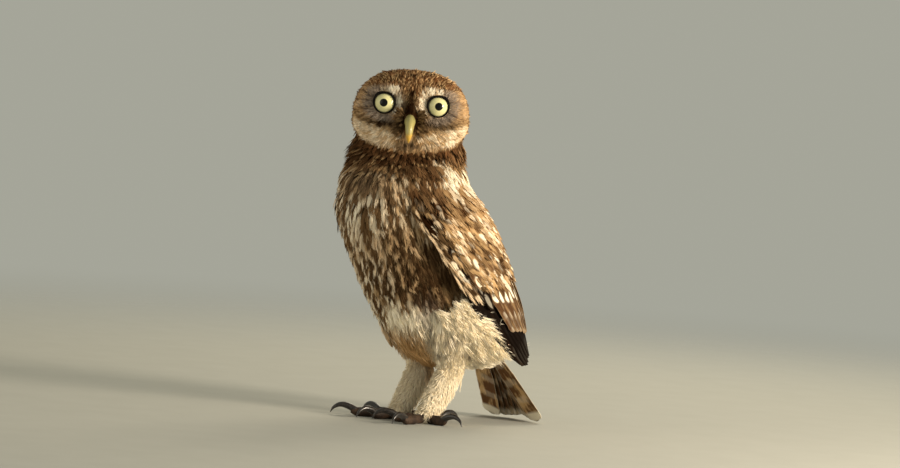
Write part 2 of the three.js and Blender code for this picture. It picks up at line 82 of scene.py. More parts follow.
def unit(vectors):
    return vectors / np.maximum(np.linalg.norm(vectors, axis=-1, keepdims=True), 1e-9)


EYES = {sign: node_middle(f"eye_{side}") for side, sign in SIDES.items()}
EYE_RADIUS = (node_box("eye_left")[1] - node_box("eye_left")[0])[2] / 2
EYE_RISE = 9.9  # of the eyes above the head's middle
EYE_DEPTH = 13.1  # of the eyes' middles ahead of the head's middle
EYE_SPREAD = 14.4
EYE_OUTWARD = math.radians(9)
LID_RADIUS = 5.7
# How far the head reaches from its middle: aside, up, ahead and back, and down in front and behind.
HEAD_SIDE, HEAD_TOP, HEAD_FACE, HEAD_NAPE = 32.0, 28.6, 21.5, 27.0
HEAD_CHIN, HEAD_NAPE_DROP = 18.0, 25.0
CROWN_SQUARE = 0.8  # under 1 the crown's corners stand out past an ellipse

ASIDE = unit(EYES[1] - EYES[-1])
AHEAD = np.cross(ASIDE, UP)
HEAD_AXES = np.array([ASIDE, UP, AHEAD])
HEAD_MIDDLE = (EYES[1] + EYES[-1]) / 2 - EYE_RISE * UP - EYE_DEPTH * AHEAD
# The point on the floor from which the body's stations are measured.
GROUND = np.array([0.0, node_middle("foot_left")[1] - 0.6, 0.0])

# The trunk's middle line as (back, up), and a leg's joints as (out, back, up).
SPINE = [(-16, 158), (-18.5, 133.5), (-4.8, 95), (18.5, 53.5), (34, 39), (54, 35)]
SPINE_PLACES = 90  # at which the trunk is measured
HIP, HEEL, ANKLE = (17, 7, 66), (11.3, 18, 33), (10.5, 1.4, 4)
TAIL_ROOT, TAIL_END = np.array([0, 52, 45.5]), np.array([0, 86, 1.7])

# The folded wing's outside, from the shoulder to the tips: front edge, back edge and half-width.
WING = [
    ((-50, 139), (10, 142), 30),
    ((-56.2, 115), (24, 125), 37),
    ((-49, 92), (40, 107), 39),
    ((-38, 70), (53.5, 87), 38.5),
    ((-21, 51), (64, 68), 37.5),
    ((3, 37), (71.5, 51), 33.5),
    ((38, 26), (77, 33), 27),
]


# Sums over arrays


def lerp(a, b, share):
    return a + (b - a) * share


def smoothstep(value, low, high):
    share = np.clip((value - low) / (high - low), 0, 1)
    return share * share * (3 - 2 * share)


def hump(distance, radius):
    return np.exp(-((distance / radius) ** 2))


def spline(points, shares):
    """Points of a smooth curve through a few points, at shares of its length."""
    points = np.asarray(points, float)
    if points.ndim == 1:
        points = points[:, None]
    padded = np.vstack([2 * points[0] - points[1], points, 2 * points[-1] - points[-2]])
    at = np.clip(np.asarray(shares, float), 0, 1) * (len(points) - 1)
    i = np.minimum(at.astype(int), len(points) - 2)
    f = (at - i)[..., None]
    a, b, c, d = (padded[i + k] for k in range(4))
    return 0.5 * (2 * b + (c - a) * f + (2 * a - 5 * b + 4 * c - d) * f**2 + (3 * b - a - 3 * c + d) * f**3)


def noise(points, size, salt=0.0):
    """Smooth noise from -1 to 1 with bumps about one size across."""
    at = np.asarray(points, float) / size + 100.0
    cell = np.floor(at)
    f = at - cell
    f = f * f * (3 - 2 * f)
    total = np.zeros(len(at))
    for corner in np.ndindex(2, 2, 2):
        place = cell + corner
        hashed = np.sin(place @ (127.1, 311.7, 74.7) + salt * 17.3) * 43758.5453
        weight = np.prod(np.where(corner, f, 1 - f), axis=1)
        total += weight * (hashed - np.floor(hashed))
    return total * 2 - 1


def to_head(points):
    """How far each point is to the side, up and ahead of the head's middle."""
    return (points - HEAD_MIDDLE) @ HEAD_AXES.T


def from_head(places):
    return np.asarray(places, float) @ HEAD_AXES + HEAD_MIDDLE


def trunk_place(points):
    """How far down the trunk each point is, its angle from the front, and the way down there."""
    line = spline(SPINE, np.linspace(0, 1, SPINE_PLACES)) + GROUND[1:] * (1, 0)
    gaps = points[:, None, 1:].astype(np.float32) - line[None].astype(np.float32)
    nearest = np.argmin((gaps**2).sum(-1), axis=1)
    ways = unit(np.gradient(line, axis=0))[nearest]
    to_front = np.stack([ways[:, 1], -ways[:, 0]], axis=1)
    ahead = ((points[:, 1:] - line[nearest]) * to_front).sum(-1)
    down = np.concatenate([np.zeros((len(points), 1)), ways], axis=1)
    return nearest / (SPINE_PLACES - 1), np.arctan2(points[:, 0], ahead), down


# Meshes


def new_object(name, points, faces, finish, slot, layers=None, uv=None):
    """A smooth mesh that rides with the bird. Faces are arrays of triangles and of quads."""
    mesh = bpy.data.meshes.new(name)
    faces = [np.asarray(part, np.int32) for part in faces if len(part)]
    corners = np.concatenate([part.ravel() for part in faces])
    sizes = np.concatenate([np.full(len(part), part.shape[1]) for part in faces])
    starts = np.concatenate([[0], np.cumsum(sizes)[:-1]])
    mesh.vertices.add(len(points))
    mesh.vertices.foreach_set("co", (np.asarray(points) * MM).astype(np.float32).ravel())
    mesh.loops.add(len(corners))
    mesh.loops.foreach_set("vertex_index", corners)
    mesh.polygons.add(len(sizes))
    mesh.polygons.foreach_set("loop_start", starts.astype(np.int32))
    for title, values in (layers or {}).items():
        add_layer(mesh, title, values)
    if uv is not None:
        layer = mesh.uv_layers.new(name="OFBake")
        layer.uv.foreach_set("vector", uv[corners].astype(np.float32).ravel())
    mesh.update(calc_edges=True)
    mesh.validate()
    mesh.shade_smooth()
    made = bpy.data.objects.new(name, mesh)
    bpy.context.scene.collection.objects.link(made)
    mesh.materials.append(finish)
    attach(made, BODY)
    return made


def add_layer(mesh, title, values):
    values = np.asarray(values, np.float32)
    kind, field = ("FLOAT", "value") if values.ndim == 1 else ("FLOAT_VECTOR", "vector")
    mesh.attributes.new(title, kind, "POINT").data.foreach_set(field, values.ravel())


def read(data, field, size, kind=np.float32):
    """A field of every element of a part of a mesh, one row to each."""
    values = np.empty(len(data) * size, kind)
    data.foreach_get(field, values)
    return values.reshape(-1, size)


def loft(rings):
    """Points and faces of a closed body through rings of points."""
    rings = np.asarray(rings, float)
    rows, around = rings.shape[:2]
    points = np.concatenate([rings.reshape(-1, 3), rings[0].mean(0)[None], rings[-1].mean(0)[None]])
    i, j = np.meshgrid(np.arange(rows - 1), np.arange(around), indexing="ij")
    a = (i * around + j).ravel()
    b = (i * around + (j + 1) % around).ravel()
    quads = np.stack([a, b, b + around, a + around], axis=1)
    k = np.arange(around)
    n = (k + 1) % around
    last = (rows - 1) * around
    first_fan = np.stack([np.full(around, rows * around), n, k], axis=1)
    last_fan = np.stack([np.full(around, rows * around + 1), last + k, last + n], axis=1)
    return points, [np.concatenate([first_fan, last_fan]), quads]


def tube(path, widths, heights, steps, around, up, shape=None):
    """Rings of a tube along a curve. A shape may change each ring's radius by share and angle."""
    shares = np.linspace(0, 1, steps + 1)
    centres = spline(path, shares)
    ways = unit(np.gradient(centres, axis=0))
    side = unit(np.cross(ways, up))
    rise = np.cross(side, ways)
    angles = np.linspace(0, 2 * np.pi, around, endpoint=False)
    wide = spline(widths, shares)[:, 0][:, None]
    high = spline(heights, shares)[:, 0][:, None]
    swell = shape(shares[:, None], angles[None]) if shape else 1.0
    across = (wide * np.cos(angles) * swell)[..., None] * side[:, None]
    over = (high * np.sin(angles) * swell)[..., None] * rise[:, None]
    return centres[:, None] + across + over


def applied(obj):
    """The mesh of an object with its modifiers."""
    graph = bpy.context.evaluated_depsgraph_get()
    return bpy.data.meshes.new_from_object(obj.evaluated_get(graph))


# Shader sums


class Wire:
    """A node's output. Sums of wires and numbers add Math nodes."""

    def __init__(self, finish, socket):
        self.finish = finish
        self.socket = socket

    def math(self, operation, *terms, clamp=False):
        settings = {"operation": operation, "use_clamp": clamp}
        return self.finish.node("ShaderNodeMath", settings, dict(enumerate(terms)))

    def __add__(self, other):
        return self.math("ADD", self, other)

    def __radd__(self, other):
        return self.math("ADD", other, self)

    def __sub__(self, other):
        return self.math("SUBTRACT", self, other)

    def __rsub__(self, other):
        return self.math("SUBTRACT", other, self)

    def __mul__(self, other):
        return self.math("MULTIPLY", self, other)

    def __rmul__(self, other):
        return self.math("MULTIPLY", other, self)

    def __truediv__(self, other):
        return self.math("DIVIDE", self, other)

    def __rtruediv__(self, other):
        return self.math("DIVIDE", other, self)

    def abs(self):
        return self.math("ABSOLUTE", self)

    def sine(self):
        return self.math("SINE", self)

    def square_root(self):
        return self.math("SQRT", self)

    def fraction(self):
        return self.math("FRACT", self)

    def clamped(self):
        return self.math("ADD", self, 0.0, clamp=True)

    def between(self, low, high):
        """Rises smoothly from 0 at low to 1 at high, and may also fall."""
        settings = {"interpolation_type": "SMOOTHSTEP"}
        sockets = {"Value": self, "From Min": low, "From Max": high}
        return self.finish.node("ShaderNodeMapRange", settings, sockets)


class Finish:
    """A material in the making, around one Principled shader."""

    def __init__(self, name, **constants):
        self.material = bpy.data.materials.new(name)
        self.material.use_nodes = True
        self.nodes = self.material.node_tree.nodes
        self.links = self.material.node_tree.links
        self.shader = next(n for n in self.nodes if n.type == "BSDF_PRINCIPLED")
        for name, value in constants.items():
            socket = name.replace("_", " ").title().replace("Ior", "IOR")
            self.shader.inputs[socket].default_value = value

    def node(self, kind, settings=None, sockets=None, output=0):
        """Adds a node of any type: its settings first, then the values or links of its sockets."""
        made = self.nodes.new(kind)
        for name, value in (settings or {}).items():
            setattr(made, name, value)
        for name, value in (sockets or {}).items():
            if isinstance(value, Wire):
                self.links.new(value.socket, made.inputs[name])
            else:
                made.inputs[name].default_value = value
        return Wire(self, made.outputs[output])

    def attribute(self, name, output="Fac"):
        return self.node("ShaderNodeAttribute", {"attribute_name": name}, output=output)

    def parts(self, name):
        """The three numbers of a vector attribute."""
        vector = self.attribute(name, "Vector")
        return [self.node("ShaderNodeSeparateXYZ", None, {0: vector}, k) for k in range(3)]

    def object_place(self):
        """Where on the object a point lies, in metres."""
        return self.node("ShaderNodeTexCoord", output="Object")

    def cloud(self, place, scale, detail):
        """Soft noise over places, from 0 to 1."""
        sockets = {"Vector": place, "Scale": scale, "Detail": detail}
        return self.node("ShaderNodeTexNoise", None, sockets)

    def mix(self, share, first, second, way="MIX"):
        settings = {"data_type": "RGBA", "blend_type": way, "clamp_factor": True}
        colours = [c if isinstance(c, Wire) else (*c, 1) for c in (first, second)]
        return self.node("ShaderNodeMix", settings, {0: share, 6: colours[0], 7: colours[1]}, 2)

    def shade(self, colour, level):
        """A colour made darker or lighter by a number."""
        grey = self.node("ShaderNodeCombineColor", None, {0: level, 1: level, 2: level})
        return self.mix(1.0, colour, grey, "MULTIPLY")

    def bump(self, height, distance, strength):
        sockets = {"Strength": strength, "Distance": distance, "Height": height}
        return self.node("ShaderNodeBump", None, sockets)

    def done(self, colour, roughness=None, normal=None, alpha=None):
        """The material, with what varies over it linked to the shader."""
        given = {"Base Color": colour, "Roughness": roughness, "Normal": normal, "Alpha": alpha}
        for name, value in given.items():
            if isinstance(value, Wire):
                self.links.new(value.socket, self.shader.inputs[name])
            elif value is not None:
                self.shader.inputs[name].default_value = (*value, 1) if name == "Base Color" else value
        return self.material


# What a user may change


class OwlCoat(bpy.types.PropertyGroup):
    seed: IntProperty(name="Seed", description="Start of every random draw", default=11)
    voxel: FloatProperty(
        name="Skin cell", description="Size of the skin's cells", default=0.0011, unit="LENGTH"
    )
    spacing: FloatProperty(
        name="Spacing", description="Gap between tufts against the usual one", default=1.0, subtype="FACTOR"
    )


class OwlColours(bpy.types.PropertyGroup):
    brown: FloatVectorProperty(
        name="Brown", description="Ground of the upper side", default=(0.15, 0.072, 0.03), subtype="COLOR"
    )
    rust: FloatVectorProperty(
        name="Rust", description="Crown and collar", default=(0.19, 0.075, 0.026), subtype="COLOR"
    )
    dark: FloatVectorProperty(
        name="Dark", description="Streaks and bars", default=(0.018, 0.0065, 0.0015), subtype="COLOR"
    )
    buff: FloatVectorProperty(
        name="Buff", description="Ground of the breast, flecks", default=(0.6, 0.39, 0.19), subtype="COLOR"
    )
    cream: FloatVectorProperty(
        name="Cream", description="Thighs, spots and cheeks", default=(0.94, 0.85, 0.68), subtype="COLOR"
    )
    grey: FloatVectorProperty(
        name="Grey", description="Round the eyes", default=(0.3, 0.24, 0.2), subtype="COLOR"
    )
    iris: FloatVectorProperty(
        name="Iris", description="Of the eyes", default=(0.74, 0.7, 0.4), subtype="COLOR"
    )
    horn: FloatVectorProperty(
        name="Horn", description="Of the bill", default=(0.42, 0.36, 0.12), subtype="COLOR"
    )
    toe: FloatVectorProperty(
        name="Toe", description="Scaly skin of the toes", default=(0.022, 0.012, 0.007), subtype="COLOR"
    )


class OwlLight(bpy.types.PropertyGroup):
    key: FloatProperty(name="Key", description="Warm light from the right", default=12.0, unit="POWER")
    fill: FloatProperty(name="Fill", description="Soft light from the front", default=2.4, unit="POWER")
    world: FloatProperty(name="Surroundings", description="Light from all round", default=0.9)


def coat_settings():
    return bpy.context.scene.owl_coat


def colours():
    return bpy.context.scene.owl_colours


# Skin

REGIONS = ("head", "neck", "torso", "thigh", "tarsus", "foot", "arm")
HEAD, NECK, TORSO, THIGH, TARSUS, FOOT, ARM = range(len(REGIONS))
COAT_DEPTH = np.array([1.7, 3.0, 3.8, 4.6, 1.9, 1.2, 0.4])
FACE_DEPTH = 0.9
REGION_REACH = 6.0  # round a solid, within which the skin may belong to it
REGION_ROUNDS, NORMAL_ROUNDS = 8, 4  # of softening
SKIN_PLACE = (0.6, 0.0, 0.5)  # on a feather, whose colour the bare skin takes: along, across and chance
GROWN = 0.4  # closes the gaps between the solids before they are joined


def face_relief(side, up):
    """How far the face stands forward of a plain dome."""
    out = np.abs(side)
    to_eye = np.hypot(out - EYE_SPREAD, up - EYE_RISE)
    disc = -2.0 * hump(to_eye, 9.0)
    ridge = 3.6 * hump(side, 4.6) * hump(up - 3, 13)
    brow = 2.6 * hump(up - (18.5 - 0.16 * out), 3.2) * hump(out - 12, 10)
    cheek = 2.2 * hump(np.hypot(out - 17, up + 10), 9)
    chin = 3.2 * hump(side, 6) * hump(up + 14, 6)
    return disc + ridge + brow + cheek + chin


def head_rings(rows, around):
    """The head from the middle of the face round to the nape."""
    polar = np.linspace(0.02, np.pi - 0.02, rows)[:, None]
    angles = np.linspace(0, 2 * np.pi, around, endpoint=False)[None]
    spread = np.sin(polar)
    drop = lerp(HEAD_CHIN, HEAD_NAPE_DROP, smoothstep(-np.cos(polar), -0.35, 0.7))
    over = np.sin(angles) > 0
    square = np.where(over, CROWN_SQUARE, 0.95)
    side = HEAD_SIDE * spread * np.sign(np.cos(angles)) * np.abs(np.cos(angles)) ** square
    high = np.where(over, np.abs(np.sin(angles)) ** CROWN_SQUARE, np.sin(angles))
    up = np.where(over, HEAD_TOP, drop) * spread * high
    flat = (1 - np.clip(spread, 0, 1) ** 2.7) ** 0.42 + 0 * angles
    face = HEAD_FACE * flat + face_relief(side, up) * smoothstep(flat, 0, 0.45)
    nape = -HEAD_NAPE * np.sqrt(1 - spread**2) + 0 * angles
    ahead = np.where(np.cos(polar) > 0, face, nape)
    return from_head(np.stack([side, up, ahead], axis=-1))


def wing_surface(t, angle, lift):
    """A point of the folded wing's outside, at a share of its length and an angle from the front."""
    front = spline([w[0] for w in WING], t)
    back = spline([w[1] for w in WING], t)
    half = spline([w[2] for w in WING], t)[..., 0]
    reach = (back - front) / 2
    long = np.linalg.norm(reach, axis=-1)
    middle = (front + back) / 2 - unit(reach) * (np.cos(angle) * (long + lift))[..., None]
    side = np.sin(angle) * (half + lift)
    return np.concatenate([side[..., None], middle], axis=-1) + GROUND


def leading_edge(t):
    return 47 + 62 * t + 13 * t**6


def upper_edge(t):
    return 150 + 18 * smoothstep(t, 0, 0.4) - 34 * t**5


def arm_rings(sign):
    """The wing's arm under its feathers, as a flat body between the flank and the coverts."""
    rows, around = 20, 24
    t = np.linspace(0.05, 0.86, rows)[:, None]
    turn = np.linspace(0, 2 * np.pi, around, endpoint=False)[None]
    wide = np.cos(turn)
    low, high = leading_edge(t) + 3, upper_edge(t) - 3
    angle = np.radians(lerp(low, high, (wide + 1) / 2))
    ends = np.sin(np.pi * np.clip((t - 0.05) / 0.81, 0.03, 0.97)) ** 0.3
    outer, inner = -1.6, lerp(-7.0, -4.6, smoothstep(t, 0.15, 0.35))
    half = (outer - inner) / 2 * ends
    lift = (outer + inner) / 2 + half * np.sin(turn)
    return wing_surface(t + 0 * turn, sign * angle, lift)


def copy_of_node(name):
    """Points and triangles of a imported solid, grown a little."""
    mesh = bmesh.new()
    mesh.from_mesh(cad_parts[name].data)
    bmesh.ops.remove_doubles(mesh, verts=mesh.verts, dist=1e-6)
    bmesh.ops.triangulate(mesh, faces=mesh.faces)
    mesh.normal_update()
    points = np.array([v.co + v.normal * (GROWN * MM) for v in mesh.verts]) / MM
    triangles = np.array([[v.index for v in f.verts] for f in mesh.faces])
    mesh.free()
    return points, triangles


def flesh():
    """Every piece of flesh as points, triangles and region."""
    pieces = []
    for name in ("neck", "torso"):
        pieces.append((*copy_of_node(name), REGIONS.index(name)))
    for side, sign in SIDES.items():
        for name in ("thigh", "tarsus", "foot"):
            pieces.append((*copy_of_node(f"{name}_{side}"), REGIONS.index(name)))
        pieces.append((*as_triangles(*loft(arm_rings(sign))), ARM))
    pieces.append((*as_triangles(*loft(head_rings(60, 90))), HEAD))
    return pieces


def as_triangles(points, faces):
    triangles, quads = faces
    return points, np.concatenate([triangles, quads[:, [0, 1, 2]], quads[:, [0, 2, 3]]])


class Skin:
    """The finished skin, and what the coat asks of it."""

    def __init__(self, obj, shares):
        mesh = obj.data
        mesh.calc_loop_triangles()
        self.points = read(mesh.vertices, "co", 3) / MM
        self.triangles = read(mesh.loop_triangles, "vertices", 3, np.int32)
        self.normals = read(mesh.vertex_normals, "vector", 3)
        self.shares = shares
        corners = self.points[self.triangles]
        edges = corners[:, 1:] - corners[:, :1]
        self.areas = np.linalg.norm(np.cross(edges[:, 0], edges[:, 1]), axis=1) / 2
        self.tree = BVHTree.FromPolygons(self.points.tolist(), self.triangles.tolist())
        self.face_normals = unit(self.normals[self.triangles].mean(1))
        self.face_shares = shares[self.triangles].mean(1)

    def nearest(self, points):
        """The nearest places on the skin, with their normals and the shares of the regions there."""
        hits = [self.tree.find_nearest(p) for p in points.tolist()]
        index = np.array([hit[2] for hit in hits])
        return np.array([hit[0] for hit in hits]), self.face_normals[index], self.face_shares[index]

    def scatter(self, spacing, wanted, rng):
        """Places spread over the skin where a function of place and region shares says so."""
        spots, normals, shares = self.draw_candidates(spacing, rng)
        keep = wanted(spots, shares)
        spots, normals, shares = spots[keep], normals[keep], shares[keep]
        gaps = spacing(spots, shares)
        tree = KDTree(len(spots))
        for i, spot in enumerate(spots.tolist()):
            tree.insert(spot, i)
        tree.balance()
        alive = np.ones(len(spots), bool)
        chosen = []
        for i, spot in enumerate(spots.tolist()):
            if alive[i]:
                chosen.append(i)
                for _, near, _ in tree.find_range(spot, gaps[i]):
                    alive[near] = False
        return spots[chosen], normals[chosen], shares[chosen]

    def draw_candidates(self, spacing, rng):
        middles = self.points[self.triangles].mean(1)
        weight = self.areas / spacing(middles, self.face_shares) ** 2
        count = int(weight.sum() * 3.0)
        pick = rng.choice(len(weight), count, p=weight / weight.sum())
        a, b = rng.random((2, count))
        fold = a + b > 1
        a, b = np.where(fold, 1 - a, a), np.where(fold, 1 - b, b)
        bary = np.stack([1 - a - b, a, b], axis=1)[..., None]
        corners = self.triangles[pick]
        spots = (self.points[corners] * bary).sum(1)
        normals = unit((self.normals[corners] * bary).sum(1))
        return spots, normals, (self.shares[corners] * bary).sum(1)


SKIN = {}


def joined_flesh(pieces):
    """One mesh object of all the pieces of flesh, remade as one skin."""
    points, faces, offset = [], [], 0
    for part, triangles, _ in pieces:
        points.append(part)
        faces.append(triangles + offset)
        offset += len(part)
    mesh = bpy.data.meshes.new("flesh")
    mesh.from_pydata((np.concatenate(points) * MM).tolist(), [], np.concatenate(faces).tolist())
    made = bpy.data.objects.new("flesh", mesh)
    bpy.context.scene.collection.objects.link(made)
    remesh = made.modifiers.new("Skin", "REMESH")
    remesh.mode = "VOXEL"
    remesh.voxel_size = coat_settings().voxel
    remesh.use_smooth_shade = True
    smooth = made.modifiers.new("Smooth", "SMOOTH")
    smooth.iterations = 6
    smooth.factor = 0.5
    skin = applied(made)
    bpy.data.objects.remove(made)
    return skin


def region_shares(points, pieces, edges):
    """Each point's share in each region, soft across their borders."""
    labels = np.zeros(len(points), int)
    best = np.full(len(points), np.inf)
    for part, triangles, region in pieces:
        tree = BVHTree.FromPolygons(part.tolist(), triangles.tolist())
        low, high = part.min(0) - REGION_REACH, part.max(0) + REGION_REACH
        near = np.nonzero(((points > low) & (points < high)).all(1))[0]
        for i in near.tolist():
            distance = tree.find_nearest(points[i].tolist())[3]
            if distance < best[i]:
                best[i], labels[i] = distance, region
    shares = np.eye(len(REGIONS))[labels]
    return soften(shares, edges, REGION_ROUNDS)


def soften(values, edges, rounds):
    """Values spread along the edges of a mesh."""
    count = np.bincount(edges.ravel(), minlength=len(values))[:, None]
    for _ in range(rounds):
        total = np.zeros_like(values)
        for k in range(values.shape[1]):
            total[:, k] = np.bincount(edges[:, 0], values[edges[:, 1], k], len(values))
            total[:, k] += np.bincount(edges[:, 1], values[edges[:, 0], k], len(values))
        values = (values + total / np.maximum(count, 1)) / 2
    return values


def facing(points):
    """How much each point belongs to the face."""
    _, up, ahead = to_head(points).T
    return smoothstep(ahead, 2, 12) * smoothstep(up, -22, -16)


def coat_depth(points, shares):
    """How far the skin lies under the tips of the coat."""
    depth = shares @ COAT_DEPTH
    face = shares[:, HEAD] * facing(points)
    return lerp(depth, FACE_DEPTH, face)


class OWL_OT_skin(bpy.types.Operator):
    """Joins the flesh into one skin that lies under the coat"""

    bl_idname = "owl.skin"
    bl_label = "Skin"

    def execute(self, context):
        pieces = flesh()
        mesh = joined_flesh(pieces)
        mesh.name = "skin"
        made = bpy.data.objects.new("skin", mesh)
        context.scene.collection.objects.link(made)
        points = read(mesh.vertices, "co", 3) / MM
        edges = read(mesh.edges, "vertices", 2, np.int32)
        normals = read(mesh.vertex_normals, "vector", 3).astype(float)
        inward = unit(soften(normals, edges, NORMAL_ROUNDS))
        shares = region_shares(points, pieces, edges)
        points = points - inward * (coat_depth(points, shares) + 0.25 * GROWN)[:, None]
        mesh.vertices.foreach_set("co", (points * MM).astype(np.float32).ravel())
        mesh.update()
        mesh.shade_smooth()
        layers = {
            "root": points,
            "place": np.tile(SKIN_PLACE, (len(points), 1)),
            "strand": np.zeros(len(points)),
            **mark_layers(markings(points, shares)),
        }
        for title, values in layers.items():
            add_layer(mesh, title, values)
        mesh.materials.append(plumage_finish("skin"))
        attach(made, BODY)
        hidden = ["head", "neck", "torso"]
        for side in SIDES:
            hidden += [f"{name}_{side}" for name in ("thigh", "tarsus", "foot")]
        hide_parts(*hidden)
        SKIN["skin"] = Skin(made, shares)
        return {"FINISHED"}


# Markings

# How pale, rusty, dark and grey a feather is, how softly its dark colour ends at its sides, and how
# strongly it carries a dark streak down its shaft, a pale drop near its tip and a thin pale fleck.
MARKS = ("pale", "rust", "dark", "grey", "soft", "streak", "drop", "fleck")


def marks_of(count, **given):
    """One row of marks for each place, with nothing where none is given."""
    rows = np.zeros((count, len(MARKS)))
    for name, values in given.items():
        rows[:, MARKS.index(name)] = values
    return rows


def overlay(marks, share, **given):
    """Lays marks over others, as strongly as each place's share."""
    for name, values in given.items():
        marks[name] = lerp(marks[name], values, share)


def head_marks(points):
    """Crown, brows, sockets, cheeks and chin, by millimetres from the head's middle."""
    side, up, ahead = to_head(points).T
    out = np.abs(side)
    face = smoothstep(ahead, 0, 9)
    inward, above = EYE_SPREAD - out, up - EYE_RISE
    to_eye = np.hypot(inward, above)
    turn = np.degrees(np.arctan2(above, inward))
    fine = noise(points, 1.3, 21)
    patches = noise(points, 3.2, 5)
    rays = noise(np.stack([turn / 6, to_eye / 40, np.sign(side)], axis=1), 1.0, 2)

    reach = 10.4 + 1.2 * hump(turn - 50, 30) - 0.8 * (side < 0)
    reach = reach + 1.0 * rays - 1.6 * smoothstep(turn, 80, 115)
    ring = smoothstep(to_eye, 6.0, 6.8) * (1 - smoothstep(to_eye, reach - 1.0, reach + 0.8))
    brow = ring * smoothstep(turn, -70, -35) * (1 - smoothstep(turn, 96, 118))
    socket = smoothstep(to_eye, 6.0, 6.6) * (1 - smoothstep(to_eye, 9.5, 12.5)) * (1 - brow)
    ridge = smoothstep(0.55 * (up - 7.5) - out, -0.8, 0.8)
    crown = np.maximum(smoothstep(up + 0.1 * out, 18.8, 21.2), ridge * smoothstep(up, 10, 14))
    crown = np.clip(1 - face + crown, 0, 1)
    wedge = hump(side + 0.2, lerp(3.2, 2.0, smoothstep(up, 8, 18))) * smoothstep(up, 2.5, 5)
    wedge = wedge * (1 - 0.7 * smoothstep(up, 13, 18)) * (1 - smoothstep(up, 22, 27))
    beside_cere = hump(np.hypot((out - 3.7) / 2.6, (up - 4.4) / 3.6), 1.0)
    below_eye = hump(up + 1.5 - 0.02 * (out - 15) ** 2, 1.9) * smoothstep(out, 6.5, 9.5)
    below_eye = below_eye * (1 - 0.6 * smoothstep(out, 21, 27)) * (0.8 + 0.4 * rays)
    cheek_top = -7.6 + 0.27 * out + 0.9 * rays
    cheek_low = -16.6 * np.clip(1 - (out / 32) ** 2, 0, 1) ** 0.6
    cheek = smoothstep(up, cheek_low - 0.4, cheek_low + 1.0)
    cheek = cheek * (1 - smoothstep(up, cheek_top - 0.6, cheek_top + 1.8))
    cheek = cheek * smoothstep(out, 4.5, 8.5)
    moustache = hump(np.hypot((out - 4.8) / 3.0, (up + 2.6) / 4.6), 1.0)
    # A dark grey patch and mouth line under the bill: painted shadow of the bill.
    chin = hump(np.hypot(side / 6.5, (up + 12.2) / 2.2), 1.0)
    below_chin = hump(np.hypot(side / 6, (up + 15.2) / 1.8), 1.0)
    outer = smoothstep(out, 19, 24) * smoothstep(up, -1, 3) * (1 - crown)
    collar = smoothstep(cheek_low - up, 0.1, 1.4) * smoothstep(ahead, -6, 4)

    pale = 0.34 + (0.3 * rays + 0.12) * outer + 0.16 * fine
    pale = lerp(pale, 0.62 + 0.35 * rays, np.clip(socket * (0.4 + 0.6 * smoothstep(-above, 0, 5)), 0, 1))
    pale = lerp(pale, 0.93 + 0.35 * rays + 0.1 * fine, brow)
    pale = lerp(pale, 0.72 + 0.2 * fine + 0.1 * patches, np.clip(cheek + 0.6 * below_chin, 0, 1))
    pale = lerp(pale, 0.1 + 0.2 * patches + 0.1 * fine, crown)
    dark = 1.05 * below_eye + 1.1 * beside_cere + 0.9 * moustache * (1 - cheek) + 0.75 * chin
    dark = face * dark + np.clip(-rays, 0, 1) * (0.5 * outer + 0.35 * socket) + 0.25 * np.clip(-fine, 0, 1)
    dark = dark * (1 - 0.8 * brow)
    dark = dark + crown * np.clip(0.32 + 0.95 * patches + 0.25 * fine, 0, 0.95)
    dark = dark + face * 0.95 * wedge * (1 - brow)
    dark = lerp(dark, 0.6 + 0.4 * patches + 0.2 * fine, collar)
    rust = face * (0.35 * outer + 0.2 * moustache) * (1 - brow) * (1 - cheek)
    rust = lerp(lerp(rust, 0.6 - 0.25 * fine, crown), 0.6, collar)
    grey = face * (0.8 * socket + 0.3 * hump(to_eye, 12) + 0.4 * chin) * (1 - cheek) * (1 - crown)
    # The brow is greyer on the bird's right, away from the key light: painted shade.
    grey = lerp(grey, 0.08 + 0.22 * (side < 0) - 0.4 * rays, brow)
    fleck = crown * (0.75 + 0.4 * patches) * (1 - wedge) + 0.5 * outer
    pale, fleck = pale * (1 - collar), fleck * (1 - collar)
    return marks_of(len(points), pale=pale, rust=rust, dark=dark, grey=grey, fleck=fleck)


def stripes(angle, level, period, salt, long, wide):
    """Broken lines down the trunk, from 0 to 1, whose pieces are about twice the given length."""
    turn = np.degrees(angle) / period
    bend = noise(np.stack([turn / 2.2, level / 26, 0 * level], axis=1), 1.0, salt)
    column = turn + 0.45 * bend
    breaks = noise(np.stack([np.round(column) * 3.7, level / long, 0 * level], axis=1), 1.0, salt + 1)
    return smoothstep(np.cos(2 * np.pi * column) + 0.7 * breaks + wide, -0.25, 0.4)


